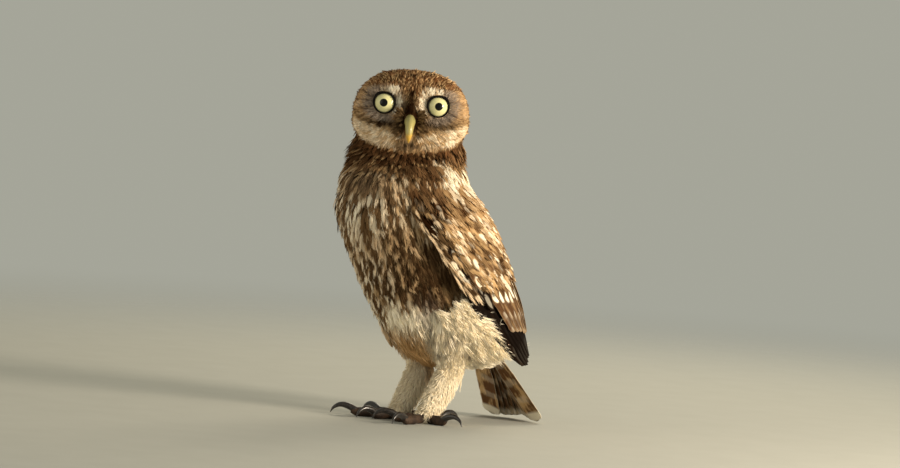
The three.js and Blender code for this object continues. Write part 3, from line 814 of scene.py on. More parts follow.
def body_marks(points):
    """Breast, throat, nape, back and belly, by height over the floor and degrees from the front."""
    angle = trunk_place(points)[1]
    turn = np.degrees(np.abs(angle))
    level = points[:, 2]
    side_turn = np.degrees(angle)
    patches = noise(points, 12, 4)
    fine = noise(points, 2.6, 9)
    back = smoothstep(turn, 100, 128)
    ragged = noise(np.stack([side_turn / 9, level / 60, 0 * level], axis=1), 1.0, 31)
    belly_edge = 66 - 15 * hump(side_turn + 32, 26)
    belly = 1 - smoothstep(level + 5 * ragged + 3 * patches + 2 * fine - belly_edge, -4, 4)
    throat = smoothstep(level + 0.06 * turn, 134, 140)
    bib = hump(level - 129, 6) * hump(side_turn - 8, 26)
    low = smoothstep(-level, -98, -84) * smoothstep(side_turn, -20, 8)
    # The flanks beside the folded wings get denser streaks and a darker, greyer ground: partly their own
    # colour, partly painted shade under the wings.
    heavy_and_wing_shade = smoothstep(side_turn, 8, 36) + smoothstep(-side_turn, 48, 68)
    heavy_and_wing_shade = heavy_and_wing_shade * smoothstep(level, 62, 76) * (1 - smoothstep(level, 102, 118))
    line = stripes(angle, level, 11.0, 3, 26.0, 0.1 + 0.4 * low + 0.35 * heavy_and_wing_shade)
    shoulder = smoothstep(turn, 46, 62) * smoothstep(level, 98, 110) * (1 - smoothstep(level, 128, 138))
    nape = smoothstep(turn, 80, 89) * smoothstep(level + 0.1 * (turn - 98), 126, 130)
    nape = nape * (1 - smoothstep(level, 141, 144)) * (1 - smoothstep(turn, 145, 165))
    vent = smoothstep(turn, 60, 100) * (1 - smoothstep(level, 66, 84)) * (1 - smoothstep(turn, 122, 145))
    speck = smoothstep(fine, 0.0, 0.4)

    ground = lerp(0.86 + 0.14 * patches + 0.06 * fine, 0.5 + 0.1 * patches, heavy_and_wing_shade)
    mottled = np.clip(0.35 - 0.6 * patches - 0.3 * fine, 0, 1)
    white = np.maximum(belly * (1 - back), vent)
    marks = {
        "pale": lerp(ground, 0.3, line),
        "dark": line * lerp(0.5 + 0.2 * low, 0.72, heavy_and_wing_shade) + 0.12 * heavy_and_wing_shade,
        "rust": line * (0.3 - 0.2 * heavy_and_wing_shade),
        "grey": 0.3 * heavy_and_wing_shade * (1 - line),
    }
    overlay(marks, bib, pale=0.42, dark=0.35 + 0.2 * line, grey=0.4)
    overlay(marks, shoulder, pale=0.38 + 0.3 * fine + 0.2 * patches, dark=mottled, rust=0.45)
    overlay(marks, throat, pale=0.26 + 0.2 * fine, dark=0.42 + 0.4 * patches - 0.25 * fine, rust=0.7)
    overlay(marks, back, pale=0.26 + 0.16 * patches, dark=0.25 + 0.3 * np.clip(patches, 0, 1), rust=0.3)
    overlay(marks, nape, pale=0.95 - 0.5 * speck, dark=0.2 * speck, rust=0.3 * speck)
    overlay(marks, white, pale=1.0, dark=0.2 * np.clip(fine + patches - 0.6, 0, 1))

    # A dusky line on each side where the thighs meet the belly: painted shade in the crease.
    dusk = hump(level - 69, 5) * hump(turn - 46, 11) + 0.8 * hump(level - 54, 12) * hump(turn - 37, 5)
    dusk = dusk * (1 - back)
    # The lower belly at the front and on the bird's right is made browner and darker: painted shade on the
    # side away from the key light.
    painted_tawny_shade = (1 - smoothstep(level, 46, 60)) * (1 - smoothstep(side_turn, 10, 40))
    marks["pale"] = marks["pale"] - 0.48 * painted_tawny_shade * white
    marks["dark"] = np.maximum(marks["dark"], 0.6 * dusk)
    marks["rust"] = marks["rust"] * (1 - white)
    marks["grey"] = np.maximum(marks["grey"] * (1 - white), 0.8 * dusk)
    marks["soft"] = (1 - back) * (1 - white)
    marks["streak"] = 0.12 * marks["soft"]
    marks["drop"] = (back * (1 - white) + 0.8 * shoulder) * (1 - nape) * (1 - throat)
    marks["fleck"] = 0.55 * throat * smoothstep(fine + patches, -0.2, 0.4)
    return marks_of(len(points), **marks)


def leg_marks(points):
    """Cream, dusky in patches above the heel, and browner and darker on the bird's right thigh: painted
    shade on the side away from the key light.
    """
    high = smoothstep(points[:, 2], 26, 44)
    dusk = smoothstep(noise(points, 7, 6), 0.35, 0.8) * high
    low = 1 - smoothstep(points[:, 2], 3, 9)
    # The bird's right thigh is made browner and darker: painted shade on the side away from the key light.
    painted_tawny_shade = (points[:, 0] < 0) * high
    pale = 1.0 - 0.2 * dusk - 0.12 * low - 0.34 * painted_tawny_shade
    return marks_of(len(points), pale=pale, dark=0.45 * dusk, grey=0.5 * dusk)


def main_shares(shares):
    """How much each place belongs to the head, to the legs and to the body."""
    on_head = shares[:, [HEAD]]
    on_legs = shares[:, [THIGH, TARSUS, FOOT]].sum(1)[:, None]
    return on_head, on_legs, np.clip(1 - on_head - on_legs, 0, 1)


def markings(points, shares):
    """The coat's markings at places on the skin."""
    on_head, on_legs, on_body = main_shares(shares)
    return head_marks(points) * on_head + leg_marks(points) * on_legs + body_marks(points) * on_body


def mark_layers(rows):
    """The marks as three layers of a mesh, of three numbers each."""
    rows = np.clip(rows, 0, 1)
    return {"tint": rows[:, :3], "softness": rows[:, 3:6], "figure": rows[:, 5:]}


def plumage_finish(name):
    """Small feathers: their marks, pale shafts, loose barbs, and painted shade that darkens each tuft
    towards its root, under the tufts that overlap it.
    """
    found = bpy.data.materials.get(name)
    if found:
        return found
    palette = colours()
    finish = Finish(name, roughness=0.85, specular_ior_level=0.03)
    along, across, chance = finish.parts("place")
    strand = finish.attribute("strand")
    pale, rust, dark = finish.parts("tint")
    grey, soft, _ = finish.parts("softness")
    streak, drop, fleck = finish.parts("figure")
    root = finish.attribute("root", "Vector")
    mottle = finish.cloud(root, 0.5, 3.0) - 0.5
    colour = finish.mix(pale * 2.0, palette.brown, palette.buff)
    colour = finish.mix(pale.between(0.5, 1.0), colour, palette.cream)
    colour = finish.mix(rust, colour, palette.rust)
    colour = finish.mix(grey * 0.85, colour, palette.grey)
    shaft = (1 - across.abs() / 0.45).clamped()
    line = shaft * along.between(0.1, 0.35) * streak
    rim = across.abs().between(0.4, 1.0) * soft
    colour = finish.mix(dark * (1 - rim * 0.3) + mottle * dark * 0.4 + line, colour, palette.dark)
    row = (along - 0.76) / 0.24
    near = (across - 0.1) / 0.6
    oval = 1 - (row * row + near * near + mottle).between(0.55, 1.15)
    spot_colour = finish.mix(chance.between(0.5, 1.0), palette.buff, palette.cream)
    colour = finish.mix(oval * drop * chance.between(0.35, 0.5), colour, spot_colour)
    spot = (1.6 - across.abs() * 2).clamped() * along.between(0.3, 0.55) * fleck * chance.between(0.5, 0.65)
    colour = finish.mix(spot, colour, palette.buff)
    # Random tone per barb and per tuft, and painted shade towards each tuft's root.
    uneven_and_root_shade = strand * 0.3 + (chance - 0.5) * 0.34 - (1 - along.between(0.0, 0.5)) * 0.3
    level = 1.05 + uneven_and_root_shade * (1 - pale.between(0.8, 1.0) * 0.6) * (1 - soft * 0.5)
    return finish.done(finish.shade(colour, level))


# Lie of the coat


def lie(points, normals, shares):
    """The way the feathers point at each place on the skin."""
    _, up, ahead = to_head(points).T
    bill = from_head([[0, 3, 21]])
    away = unit(points - bill)
    for sign in EYES:
        eye = from_head([[sign * EYE_SPREAD, 9.4, 19]])
        near = hump(np.linalg.norm(points - eye, axis=1) - 6, 6.5)[:, None]
        away = away + 1.5 * near * unit(points - eye)
    nape = smoothstep(-ahead, -4, 14)[:, None]
    back = unit(-AHEAD * 0.5 - UP * 0.9)
    away = lerp(unit(away), back, 0.75 * nape)
    low = smoothstep(-up, 8, 18)[:, None]
    away = unit(lerp(unit(away), -UP, 0.75 * low))
    down = trunk_place(points)[2]
    on_head, on_legs, on_body = main_shares(shares)
    way = away * on_head + leg_lie(points, shares) * on_legs + down * on_body
    way = way - normals * (way * normals).sum(1)[:, None]
    return unit(way)


def leg_lie(points, shares):
    """Down the legs, and back towards the tail over the thighs' hind side."""
    sign = np.where(points[:, 0] > 0, 1, -1)[:, None]
    hip, heel, ankle = (np.array(p) + GROUND for p in (HIP, HEEL, ANKLE))
    mirror = np.concatenate([sign, np.ones_like(sign), np.ones_like(sign)], axis=1)
    thigh = unit((heel - hip) * mirror)
    shank = unit((ankle - heel) * mirror)
    lower = shares[:, [TARSUS, FOOT]].sum(1)[:, None]
    behind = smoothstep(points[:, 1] - GROUND[1], 14, 30)[:, None]
    thigh = unit(lerp(thigh, np.array([0, 0.8, -0.6]), behind))
    return unit(lerp(thigh, shank, np.clip(lower, 0, 1)))


# Tufts


class Template:
    """One tuft in shares of its length and half-width, made of loose barbs and, in some, a leaf."""

    def __init__(self):
        self.along, self.across, self.rise, self.strand = [], [], [], []
        self.triangles, self.quads = [], []

    def row(self, along, across, rise, strand):
        first = len(self.along)
        for c, h in zip(across, rise):
            self.along.append(along)
            self.across.append(c)
            self.rise.append(h)
            self.strand.append(strand)
        return first

    def leaf(self, shares, widths, keel):
        """The close middle of a feather, three points wide, ending in a point."""
        last = None
        for share, width in zip(shares, widths):
            row = self.row(share, (-width, 0, width), (0, keel * width, 0), 0.0)
            if last is not None:
                self.quads += [[last + k, last + k + 1, row + k + 1, row + k] for k in range(2)]
            last = row
        tip = self.row(min(shares[-1] + 0.2, 1.0), (0,), (0,), 0.0)
        self.triangles += [[last, last + 1, tip], [last + 1, last + 2, tip]]

    def barb(self, start, end, width, tilt, segments, rng, curl=0.0):
        """A loose flat strand that tapers to its tip."""
        strand = rng.uniform(-1, 1)
        last = None
        bend = rng.normal(0, curl)
        for k in range(segments):
            share = k / segments
            along = lerp(start[0], end[0], share)
            across = lerp(start[1], end[1], share**1.3) + bend * math.sin(share * 5)
            half = width * (0.6 + 0.8 * share) if share < 0.5 else width * 2 * (1.02 - share)
            row = self.row(along, (across - half, across + half), (-tilt, tilt), strand)
            if last is not None:
                self.quads.append([last, last + 1, row + 1, row])
            last = row
        tip = self.row(end[0], (end[1] + bend * math.sin(5),), (0,), strand)
        self.triangles.append([last, last + 1, tip])

    def arrays(self):
        return [np.array(x) for x in (self.along, self.across, self.rise, self.strand)]


def contour_template(rng, barbs=12, loose=0.4):
    made = Template()
    made.leaf((0.0, 0.25, 0.5, 0.7), (0.25, 0.5, 0.55, 0.3), 0.3)
    for k in range(barbs):
        across = lerp(-0.95, 0.95, k / (barbs - 1)) + rng.normal(0, 0.08)
        start = (rng.uniform(0.2, loose), across * 0.5)
        end = (rng.uniform(0.82, 1.0) - 0.2 * across**2, across)
        made.barb(start, end, rng.uniform(0.07, 0.13), rng.normal(0, 0.08), 3, rng, curl=0.03)
    return made


def short_template(rng, barbs=6):
    made = Template()
    for k in range(barbs):
        across = lerp(-0.95, 0.95, k / (barbs - 1)) + rng.normal(0, 0.1)
        start = (rng.uniform(0.0, 0.3), across * 0.45)
        end = (rng.uniform(0.72, 1.0) - 0.15 * across**2, across)
        made.barb(start, end, rng.uniform(0.7, 1.2) / barbs, rng.normal(0, 0.12), 2, rng)
    return made


def plume_template(rng):
    made = Template()
    barbs = 14
    for k in range(barbs):
        across = lerp(-1, 1, k / (barbs - 1)) + rng.normal(0, 0.15)
        start = (rng.uniform(0.0, 0.3), across * 0.25)
        end = (rng.uniform(0.65, 1.0) - 0.15 * across**2, across)
        made.barb(start, end, rng.uniform(0.04, 0.08), rng.normal(0, 0.1), 4, rng, curl=0.1)
    return made


def walk(skin, spots, normals, shares, lengths, steps):
    """The lines that feathers follow over the skin from their roots."""
    lines, outs = [spots], [normals]
    for _ in range(steps):
        way = lie(spots, normals, shares)
        spots, normals, shares = skin.nearest(spots + way * (lengths / steps)[:, None])
        lines.append(spots)
        outs.append(normals)
    return np.stack(lines, axis=1), np.stack(outs, axis=1)


def along_line(lines, shares):
    """Points at shares of each line, as one row per line."""
    steps = lines.shape[1] - 1
    at = np.clip(shares, 0, 1) * steps
    i = np.minimum(at.astype(int), steps - 1)
    f = (at - i)[None, :, None]
    return lines[:, i] * (1 - f) + lines[:, i + 1] * f


def coat_map(points):
    """Where each root lies on the unrolled skin, as a place in the coat's own map."""
    side, up, ahead = to_head(points).T
    round_head = np.arccos(np.clip(ahead / np.maximum(np.sqrt(side**2 + up**2 + ahead**2), 1e-6), -1, 1))
    turn = np.arctan2(up, side)
    head = 0.5 + 0.48 * np.stack([np.cos(turn), np.sin(turn)], axis=1) * (round_head / np.pi)[:, None]
    down, angle, _ = trunk_place(points)
    trunk = np.stack([0.5 + 0.48 * angle / np.pi, 0.98 - 0.96 * down], axis=1)
    on_head = (points[:, 2] > HEAD_MIDDLE[2] - 19)[:, None]
    return np.where(on_head, head, trunk)


def leg_map(points):
    """The same for a leg's coat, unrolled round the leg."""
    sign = np.where(points[:, 0] > 0, 1, -1)
    axis = spline([HIP, HEEL, ANKLE], np.linspace(0, 1, 60)) + GROUND
    level = np.argmin(np.abs(points[:, None, 2] - axis[None, :, 2]), axis=1)
    out = points[:, 0] * sign - axis[level, 0]
    ahead = points[:, 1] - axis[level, 1]
    angle = np.arctan2(ahead, out) / (2 * np.pi)
    height = np.clip(points[:, 2] / 75, 0, 1)
    return np.stack([0.25 + 0.5 * (sign < 0) + 0.46 * angle, 0.01 + 0.98 * height], axis=1)


KINDS = 8  # of tuft in most pieces of coat
LINE_STEPS = 4  # in the line that a tuft follows
PATCH = 0.003  # across one tuft in its coat's map
SLANT = 0.14  # how far tufts lean aside, as a share of their length
CAMBER = 0.15  # how far a tuft's sides curve down, as a share of its half-width


def lay_coat(name, place, sizes, templates, rng, slot, unroll=coat_map):
    """One piece of coat: a tuft on each place, along the skin and up to the coat's depth.

    Where the skin folds under a tuft, the tuft is narrow and lies close.
    """
    spots, normals, shares = place
    lines, outs = walk(SKIN["skin"], spots, normals, shares, sizes[0], LINE_STEPS)
    straight = smoothstep(np.linalg.norm(lines[:, -1] - lines[:, 0], axis=1) / sizes[0], 0.5, 0.8)
    straight = straight * smoothstep((outs[:, 0] * outs[:, -1]).sum(1), -0.2, 0.5)
    sizes = (sizes[0], sizes[1] * lerp(0.4, 1, straight), sizes[2] * lerp(0.1, 1, straight))
    marks = markings(lines[:, LINE_STEPS // 2], shares)
    lay_tufts(name, (lines, outs), sizes, templates, marks, unroll(spots), rng, slot)


def lay_tufts(name, ways, sizes, templates, marks, base, rng, slot):
    """Tufts along given lines, each a random template, as one mesh."""
    lines, outs = ways
    lengths, widths, lifts = sizes
    layers = mark_layers(marks)
    chance = rng.random(len(lines))
    kind = rng.integers(0, len(templates), len(lines))
    slant = rng.normal(0, SLANT, len(lines))
    points, triangles, quads, uvs, offset = [], [], [], [], 0
    gathered = {title: [] for title in ("root", "place", "strand", *layers)}
    for k, template in enumerate(templates):
        chosen = np.nonzero(kind == k)[0]
        along, across, rise, strand = template.arrays()
        half = widths[chosen][:, None]
        centre = along_line(lines[chosen], along)
        out = unit(along_line(outs[chosen], along))
        ahead = unit(lines[chosen, -1] - lines[chosen, 0])[:, None]
        side = unit(np.cross(ahead, out))
        lean = slant[chosen][:, None] * along * lengths[chosen][:, None]
        reach = across * half + lean
        lift = lifts[chosen][:, None] * (along**0.85 * 1.12 - 0.12) + (rise - CAMBER * across**2) * half
        placed = (centre + side * reach[..., None] + out * lift[..., None]).reshape(-1, 3)
        placed[:, 2] = np.maximum(placed[:, 2], FLOOR_GAP)
        points.append(placed)
        count, size = len(chosen), len(along)
        starts = offset + np.arange(count)[:, None, None] * size
        triangles.append((np.array(template.triangles, int).reshape(-1, 3)[None] + starts).reshape(-1, 3))
        quads.append((np.array(template.quads, int).reshape(-1, 4)[None] + starts).reshape(-1, 4))
        tuft = np.repeat(chosen, size)
        tiled = np.stack([np.tile(along, count), np.tile(across, count), chance[tuft]], axis=1)
        gathered["root"].append(lines[tuft, 0])
        gathered["place"].append(tiled)
        gathered["strand"].append(np.tile(strand, count))
        for title, values in layers.items():
            gathered[title].append(values[tuft])
        uvs.append(base[tuft] + np.stack([tiled[:, 1] / 2, tiled[:, 0] - 0.5], axis=1) * PATCH)
        offset += count * size
    gathered = {title: np.concatenate(values) for title, values in gathered.items()}
    faces = [np.concatenate(triangles), np.concatenate(quads)]
    finish = plumage_finish("small_feathers")
    new_object(name, np.concatenate(points), faces, finish, slot, gathered, np.concatenate(uvs))


def outside_eyes(points):
    """True where no eye or bill takes the place of feathers."""
    side, up, ahead = to_head(points).T
    free = np.hypot(np.abs(side) - EYE_SPREAD, up - EYE_RISE) > LID_RADIUS + 0.2
    bill = (np.abs(side) < 2.6) & (up < 4.4) & (up > -11)
    return (free & ~bill) | (ahead < 5)


def head_sizes(points, rng):
    """Length, half-width and lift of the head's tufts: shortest round the eyes, and some that stand out."""
    side, up, ahead = to_head(points).T
    to_eye = np.hypot(np.abs(side) - EYE_SPREAD, up - EYE_RISE)
    face = facing(points)
    near = 1 - smoothstep(to_eye, 6, 13)
    length = lerp(7.0, lerp(5.6, 2.8, near), face)
    length = length + 2.0 * smoothstep(-up, 5, 13) + 1.5 * smoothstep(-ahead, 0, 20)
    width = lerp(0.8, lerp(0.75, 0.5, near), face)
    behind = smoothstep(np.abs(side) - EYE_SPREAD, 1, 6) + smoothstep(up - EYE_RISE, 2, 6)
    lift = lerp(1.9, lerp(1.6, 0.8 + 0.9 * np.minimum(behind, 1), near), face) + 0.5 * smoothstep(-up, 5, 13)
    stray = 1 + 0.5 * (rng.random(len(points)) < 0.06) * (1 - near * face)
    return [values * rng.uniform(0.8, 1.2, len(points)) for values in (length, width, lift * stray)]


def under_wing(points, normals):
    """How far each place on the body is covered by a folded wing."""
    covered = np.zeros(len(points))
    for side in SIDES:
        tree = BVHTree.FromPolygons(*[values.tolist() for values in copy_of_node(f"wing_{side}")])
        hits = [tree.find_nearest(p) for p in points.tolist()]
        ways = unit(np.array([hit[0] for hit in hits]) - points)
        over = smoothstep((ways * normals).sum(1), 0.55, 0.85)
        near = 1 - smoothstep(np.array([hit[3] for hit in hits]), 6, 9)
        covered = np.maximum(covered, over * near)
    return covered


def steady(gap):
    """A spacing that is the same all over."""
    return lambda points, shares: gap + 0 * points[:, 0]


def of_regions(*regions):
    return lambda points, shares: shares[:, regions].sum(1) > 0.5


def pick(place, chosen):
    return [values[chosen] for values in place]


class OWL_OT_head_coat(bpy.types.Operator):
    """Lays the short feathers of the face and crown"""

    bl_idname = "owl.head_coat"
    bl_label = "Head feathers"

    crown_gap = 0.74
    face_gap = 0.55

    def execute(self, context):
        rng = np.random.default_rng(coat_settings().seed)
        share = coat_settings().spacing

        def spacing(points, shares):
            return share * lerp(self.crown_gap, self.face_gap, facing(points))

        def wanted(points, shares):
            return (shares[:, HEAD] > 0.5) & outside_eyes(points)

        place = SKIN["skin"].scatter(spacing, wanted, rng)
        face = facing(place[0]) > 0.5
        fine = [short_template(rng, barbs=4) for _ in range(KINDS)]
        crown = [short_template(rng, barbs=8) for _ in range(KINDS)]
        for name, chosen, templates in (("face_feathers", face, fine), ("crown_feathers", ~face, crown)):
            part = pick(place, chosen)
            lay_coat(name, part, head_sizes(part[0], rng), templates, rng, "plumage")
        return {"FINISHED"}


class OWL_OT_bristles(bpy.types.Operator):
    """Lays the bristles that spread from both sides of the bill"""

    bl_idname = "owl.bristles"
    bl_label = "Bristles"

    count = 110
    long = 6.0

    def execute(self, context):
        rng = np.random.default_rng(coat_settings().seed + 5)
        sign = np.where(np.arange(2 * self.count) % 2, 1, -1)
        out, up = rng.uniform(3.2, 6.2, 2 * self.count), rng.uniform(-6.5, 5.5, 2 * self.count)
        before_bill = from_head(np.stack([sign * out, up, 0 * up + 22], axis=1))
        roots, normals, _ = SKIN["skin"].nearest(before_bill)
        rise = np.where(up > 1, 0.12, 0.16) * (up - 1.0)
        way = np.stack([0.75 * sign, rise, 0 * up + 0.45], axis=1) + rng.normal(0, 0.12, (len(up), 3))
        way = unit(way) @ HEAD_AXES
        lengths = self.long * rng.uniform(0.6, 1.2, len(up))
        steps = np.linspace(0, 1, LINE_STEPS + 1)[None, :, None]
        lines = roots[:, None] + way[:, None] * lengths[:, None, None] * steps
        lines = lines - normals[:, None] * 0.9 * steps**2 * lengths[:, None, None] * 0.25
        outs = np.repeat(normals[:, None], LINE_STEPS + 1, axis=1)
        dark = rng.uniform(0.4, 1, len(up)) * (up > -5.5)
        marks = marks_of(len(up), pale=0.35 + 0.4 * (up < -5), dark=dark)
        sizes = (lengths, rng.uniform(0.5, 0.9, len(up)), 0 * up + 0.5)
        templates = [short_template(rng, barbs=4) for _ in range(6)]
        lay_tufts("bill_bristles", (lines, outs), sizes, templates, marks, coat_map(roots), rng, "plumage")
        return {"FINISHED"}


class OWL_OT_body_coat(bpy.types.Operator):
    """Lays the loose feathers of throat, breast and back, and the down of the belly"""

    bl_idname = "owl.body_coat"
    bl_label = "Body feathers"

    gap = 1.35

    def execute(self, context):
        rng = np.random.default_rng(coat_settings().seed + 1)
        spacing = steady(self.gap * coat_settings().spacing)
        place = SKIN["skin"].scatter(spacing, of_regions(NECK, TORSO, ARM), rng)
        level = place[0][:, 2]
        feathers = [contour_template(rng) for _ in range(KINDS)]
        plumes = [plume_template(rng) for _ in range(KINDS)]
        bands = (
            ("throat_feathers", 126, math.inf, feathers),
            ("upper_breast_feathers", 102, 126, feathers),
            ("lower_breast_feathers", 81, 102, feathers),
            ("flank_feathers", 63, 81, feathers),
            ("belly_plumes", 0, 63, plumes),
        )
        for name, low, high, templates in bands:
            part = pick(place, (level >= low) & (level < high))
            lay_coat(name, part, self.sizes(*part, rng), templates, rng, "plumage")
        return {"FINISHED"}

    def sizes(self, points, normals, shares, rng):
        level = points[:, 2]
        upper = smoothstep(level, 118, 145)
        downy = 1 - smoothstep(level, 60, 74)
        length = lerp(lerp(13.0, 16.0, downy), 9.0, upper)
        width = lerp(lerp(1.7, 2.4, downy), 1.4, upper)
        ruff = hump(level - 151, 4.5) * np.where(points[:, 0] < 0, 2.6, 1.2)
        hidden = np.maximum(under_wing(points, normals), 0.6 * shares[:, ARM])
        lift = (lerp(lerp(3.8, 4.4, downy), 3.0, upper) + ruff) * (1 - 0.8 * hidden)
        return [values * rng.uniform(0.82, 1.18, len(points)) for values in (length, width, lift)]


class OWL_OT_leg_coat(bpy.types.Operator):
    """Lays the cream plumes of the thighs and the short hair-like feathers of shanks and feet"""

    bl_idname = "owl.leg_coat"
    bl_label = "Leg feathers"

    def execute(self, context):
        rng = np.random.default_rng(coat_settings().seed + 2)
        plumes = [plume_template(rng) for _ in range(KINDS)]
        hairs = [short_template(rng) for _ in range(KINDS)]
        self.lay("thigh_plumes", THIGH, 1.4, (17.0, 2.2, 4.8), plumes, rng)
        self.lay("shank_feathers", TARSUS, 0.55, (4.6, 0.6, 2.7), hairs, rng)
        self.lay("foot_feathers", FOOT, 0.55, (5.5, 0.6, 1.9), hairs, rng)
        return {"FINISHED"}

    def lay(self, name, region, gap, usual, templates, rng):
        place = SKIN["skin"].scatter(steady(gap * coat_settings().spacing), of_regions(region), rng)
        sizes = [value * rng.uniform(0.75, 1.25, len(place[0])) for value in usual]
        if region == THIGH:
            above_heel = smoothstep(place[0][:, 2] - HEEL[2], 3, 24)
            sizes[0] *= lerp(0.35, 1.0, above_heel)
            sizes[2] *= lerp(0.6, 1.0, above_heel) * (1 - 0.85 * under_wing(place[0], place[1]))
        lay_coat(name, place, sizes, templates, rng, "pale_plumage", unroll=leg_map)


# Vanes of wings and tail


VANE_STRIPS = 8  # across a vane
VANE_THICKNESS = 0.18
SHAFT_RADIUS, SHAFT_TIP_RADIUS = 0.35, 0.12


def vane_width(s, blunt):
    """A vane's width along it, as a share of its fullest."""
    base = lerp(0.5, 1, smoothstep(s, 0, 0.5))
    tip = np.sqrt(np.clip(1 - np.clip((s - blunt) / (1 - blunt), 0, 1) ** 2.2, 0, 1))
    return base * np.maximum(tip, 0.04)


class Vanes:
    """Many like vanes in one mesh, each with its own cell of the map."""

    def __init__(self, along=16):
        self.rows, self.columns = along + 1, VANE_STRIPS + 1
        shares = np.linspace(0, 1, self.rows)
        self.s = shares * (1.35 - 0.35 * shares)
        self.c = np.linspace(-1, 1, self.columns)
        self.points, self.layers = [], {"place": [], "marks": []}
        self.shafts = []

    def add(self, path, outward, width, marks, rng, hand, camber, tilt=0.0, cut=0.05, blunt=0.82):
        """Adds a vane on a path of places and outward ways, both functions of shares of its length."""
        centre, out = path(self.s), outward(self.s)
        ways = unit(np.gradient(centre, axis=0))
        out = unit(out - ways * (out * ways).sum(1)[:, None])
        side = np.cross(out, ways) * hand
        half = width / 2 * vane_width(self.s, blunt)
        ragged = 1 + cut * rng.uniform(-1, 0.3, (self.rows, 1)) * (np.abs(self.c) > 0.8)
        reach = half[:, None] * self.c[None] * ragged
        height = tilt * self.c[None] - camber * self.c[None] ** 2
        upper = centre[:, None] + side[:, None] * reach[..., None] + out[:, None] * height[..., None]
        lower = upper - out[:, None] * VANE_THICKNESS
        self.points.append(np.concatenate([upper.reshape(-1, 3), lower.reshape(-1, 3)]))
        s, c = np.meshgrid(self.s, self.c, indexing="ij")
        chance = rng.random()
        place = np.stack([s.ravel(), c.ravel(), np.full(s.size, chance)], axis=1)
        self.layers["place"].append(np.concatenate([place, place]))
        self.layers["marks"].append(np.tile(marks, (2 * s.size, 1)))
        self.shafts.append((centre + out * 0.05, out))

    def faces(self):
        """Faces of one vane: its upper side, its under side and the wall round them."""
        rows, columns = self.rows, self.columns
        i, j = np.meshgrid(np.arange(rows - 1), np.arange(columns - 1), indexing="ij")
        a = (i * columns + j).ravel()
        layer = rows * columns
        top = np.stack([a, a + 1, a + columns + 1, a + columns], axis=1)
        under = top[:, ::-1] + layer
        rim = np.concatenate(
            [
                np.arange(columns),
                np.arange(1, rows) * columns + columns - 1,
                (rows - 1) * columns + np.arange(columns - 2, -1, -1),
                np.arange(rows - 2, 0, -1) * columns,
            ]
        )
        following = np.roll(rim, -1)
        wall = np.stack([following, rim, rim + layer, following + layer], axis=1)
        return np.concatenate([top, under, wall])

    def build(self, name, finish, slot):
        count, size = len(self.points), len(self.points[0])
        faces = (self.faces()[None] + np.arange(count)[:, None, None] * size).reshape(-1, 4)
        layers = {title: np.concatenate(values) for title, values in self.layers.items()}
        grid = math.ceil(math.sqrt(count))
        cells = np.stack([np.arange(count) % grid, np.arange(count) // grid], axis=1)
        along, across = layers["place"][:, 0], layers["place"][:, 1]
        inside = np.stack([0.5 + 0.46 * across, 0.04 + 0.92 * along], axis=1)
        uv = (np.repeat(cells, size, axis=0) + inside) / grid
        return new_object(name, np.concatenate(self.points), [faces], finish, slot, layers, uv)

    def build_shafts(self, name, finish, slot):
        """The raised shafts of the vanes, as thin tapered rods."""
        points, triangles, quads, offset = [], [], [], 0
        shares = np.linspace(0, 0.97, 14)
        angles = np.linspace(0, 2 * np.pi, 5, endpoint=False)[None, :, None]
        thick = lerp(SHAFT_RADIUS, SHAFT_TIP_RADIUS, shares)[:, None, None]
        for centre, out in self.shafts:
            line = spline(centre, shares)
            ways = unit(np.gradient(line, axis=0))
            rise = unit(spline(out, shares))
            side = np.cross(ways, rise)
            ring = np.cos(angles) * side[:, None] + np.sin(angles) * rise[:, None]
            part, (fans, sheets) = loft(line[:, None] + ring * thick)
            points.append(part)
            triangles.append(fans + offset)
            quads.append(sheets + offset)
            offset += len(part)
        faces = [np.concatenate(triangles), np.concatenate(quads)]
        new_object(name, np.concatenate(points), faces, finish, slot)


# The wing's tiers from the lowest layer up. Each has how many feathers it shows, where their roots and
# tips lie, from the lowest feather to the uppermost, as (share of length, degrees from the front), the
# feathers' width, how high they lie at root and tip, and how strongly they are spotted, barred and dark.
WING_TIERS = {
    "primaries": {
        "count": 9,
        "roots": [(0.42, 76), (0.5, 100)],
        "tips": [(0.87, 95), (0.965, 104), (0.935, 128)],
        "width": 9.5,
        "lift": (-2.4, 0.1),
        "marks": (0.1, 0.3, 1.0),
    },
    "secondaries": {
        "count": 9,
        "roots": [(0.38, 94), (0.36, 152)],
        "tips": [(0.76, 110), (0.84, 155)],
        "width": 11,
        "lift": (-2.0, 0.4),
        "marks": (0.9, 0.92, 0.5),
    },
    "tertials": {
        "count": 4,
        "roots": [(0.34, 140), (0.3, 160)],
        "tips": [(0.74, 154), (0.66, 167)],
        "width": 12,
        "lift": (-1.6, 0.9),
        "marks": (0.4, 0.85, 0.3),
    },
    "primary_coverts": {
        "count": 8,
        "roots": [(0.16, 64), (0.32, 84)],
        "tips": [(0.4, 80), (0.62, 93)],
        "width": 6,
        "lift": (-1.8, 0.5),
        "marks": (0.9, 0.2, 1.0),
    },
    "greater_coverts": {
        "count": 12,
        "roots": [(0.3, 82), (0.28, 154)],
        "tips": [(0.525, 90), (0.545, 162)],
        "width": 8,
        "lift": (-1.6, 0.9),
        "marks": (1.0, 0.2, 0.3),
    },
}
WING_TILT = -0.55


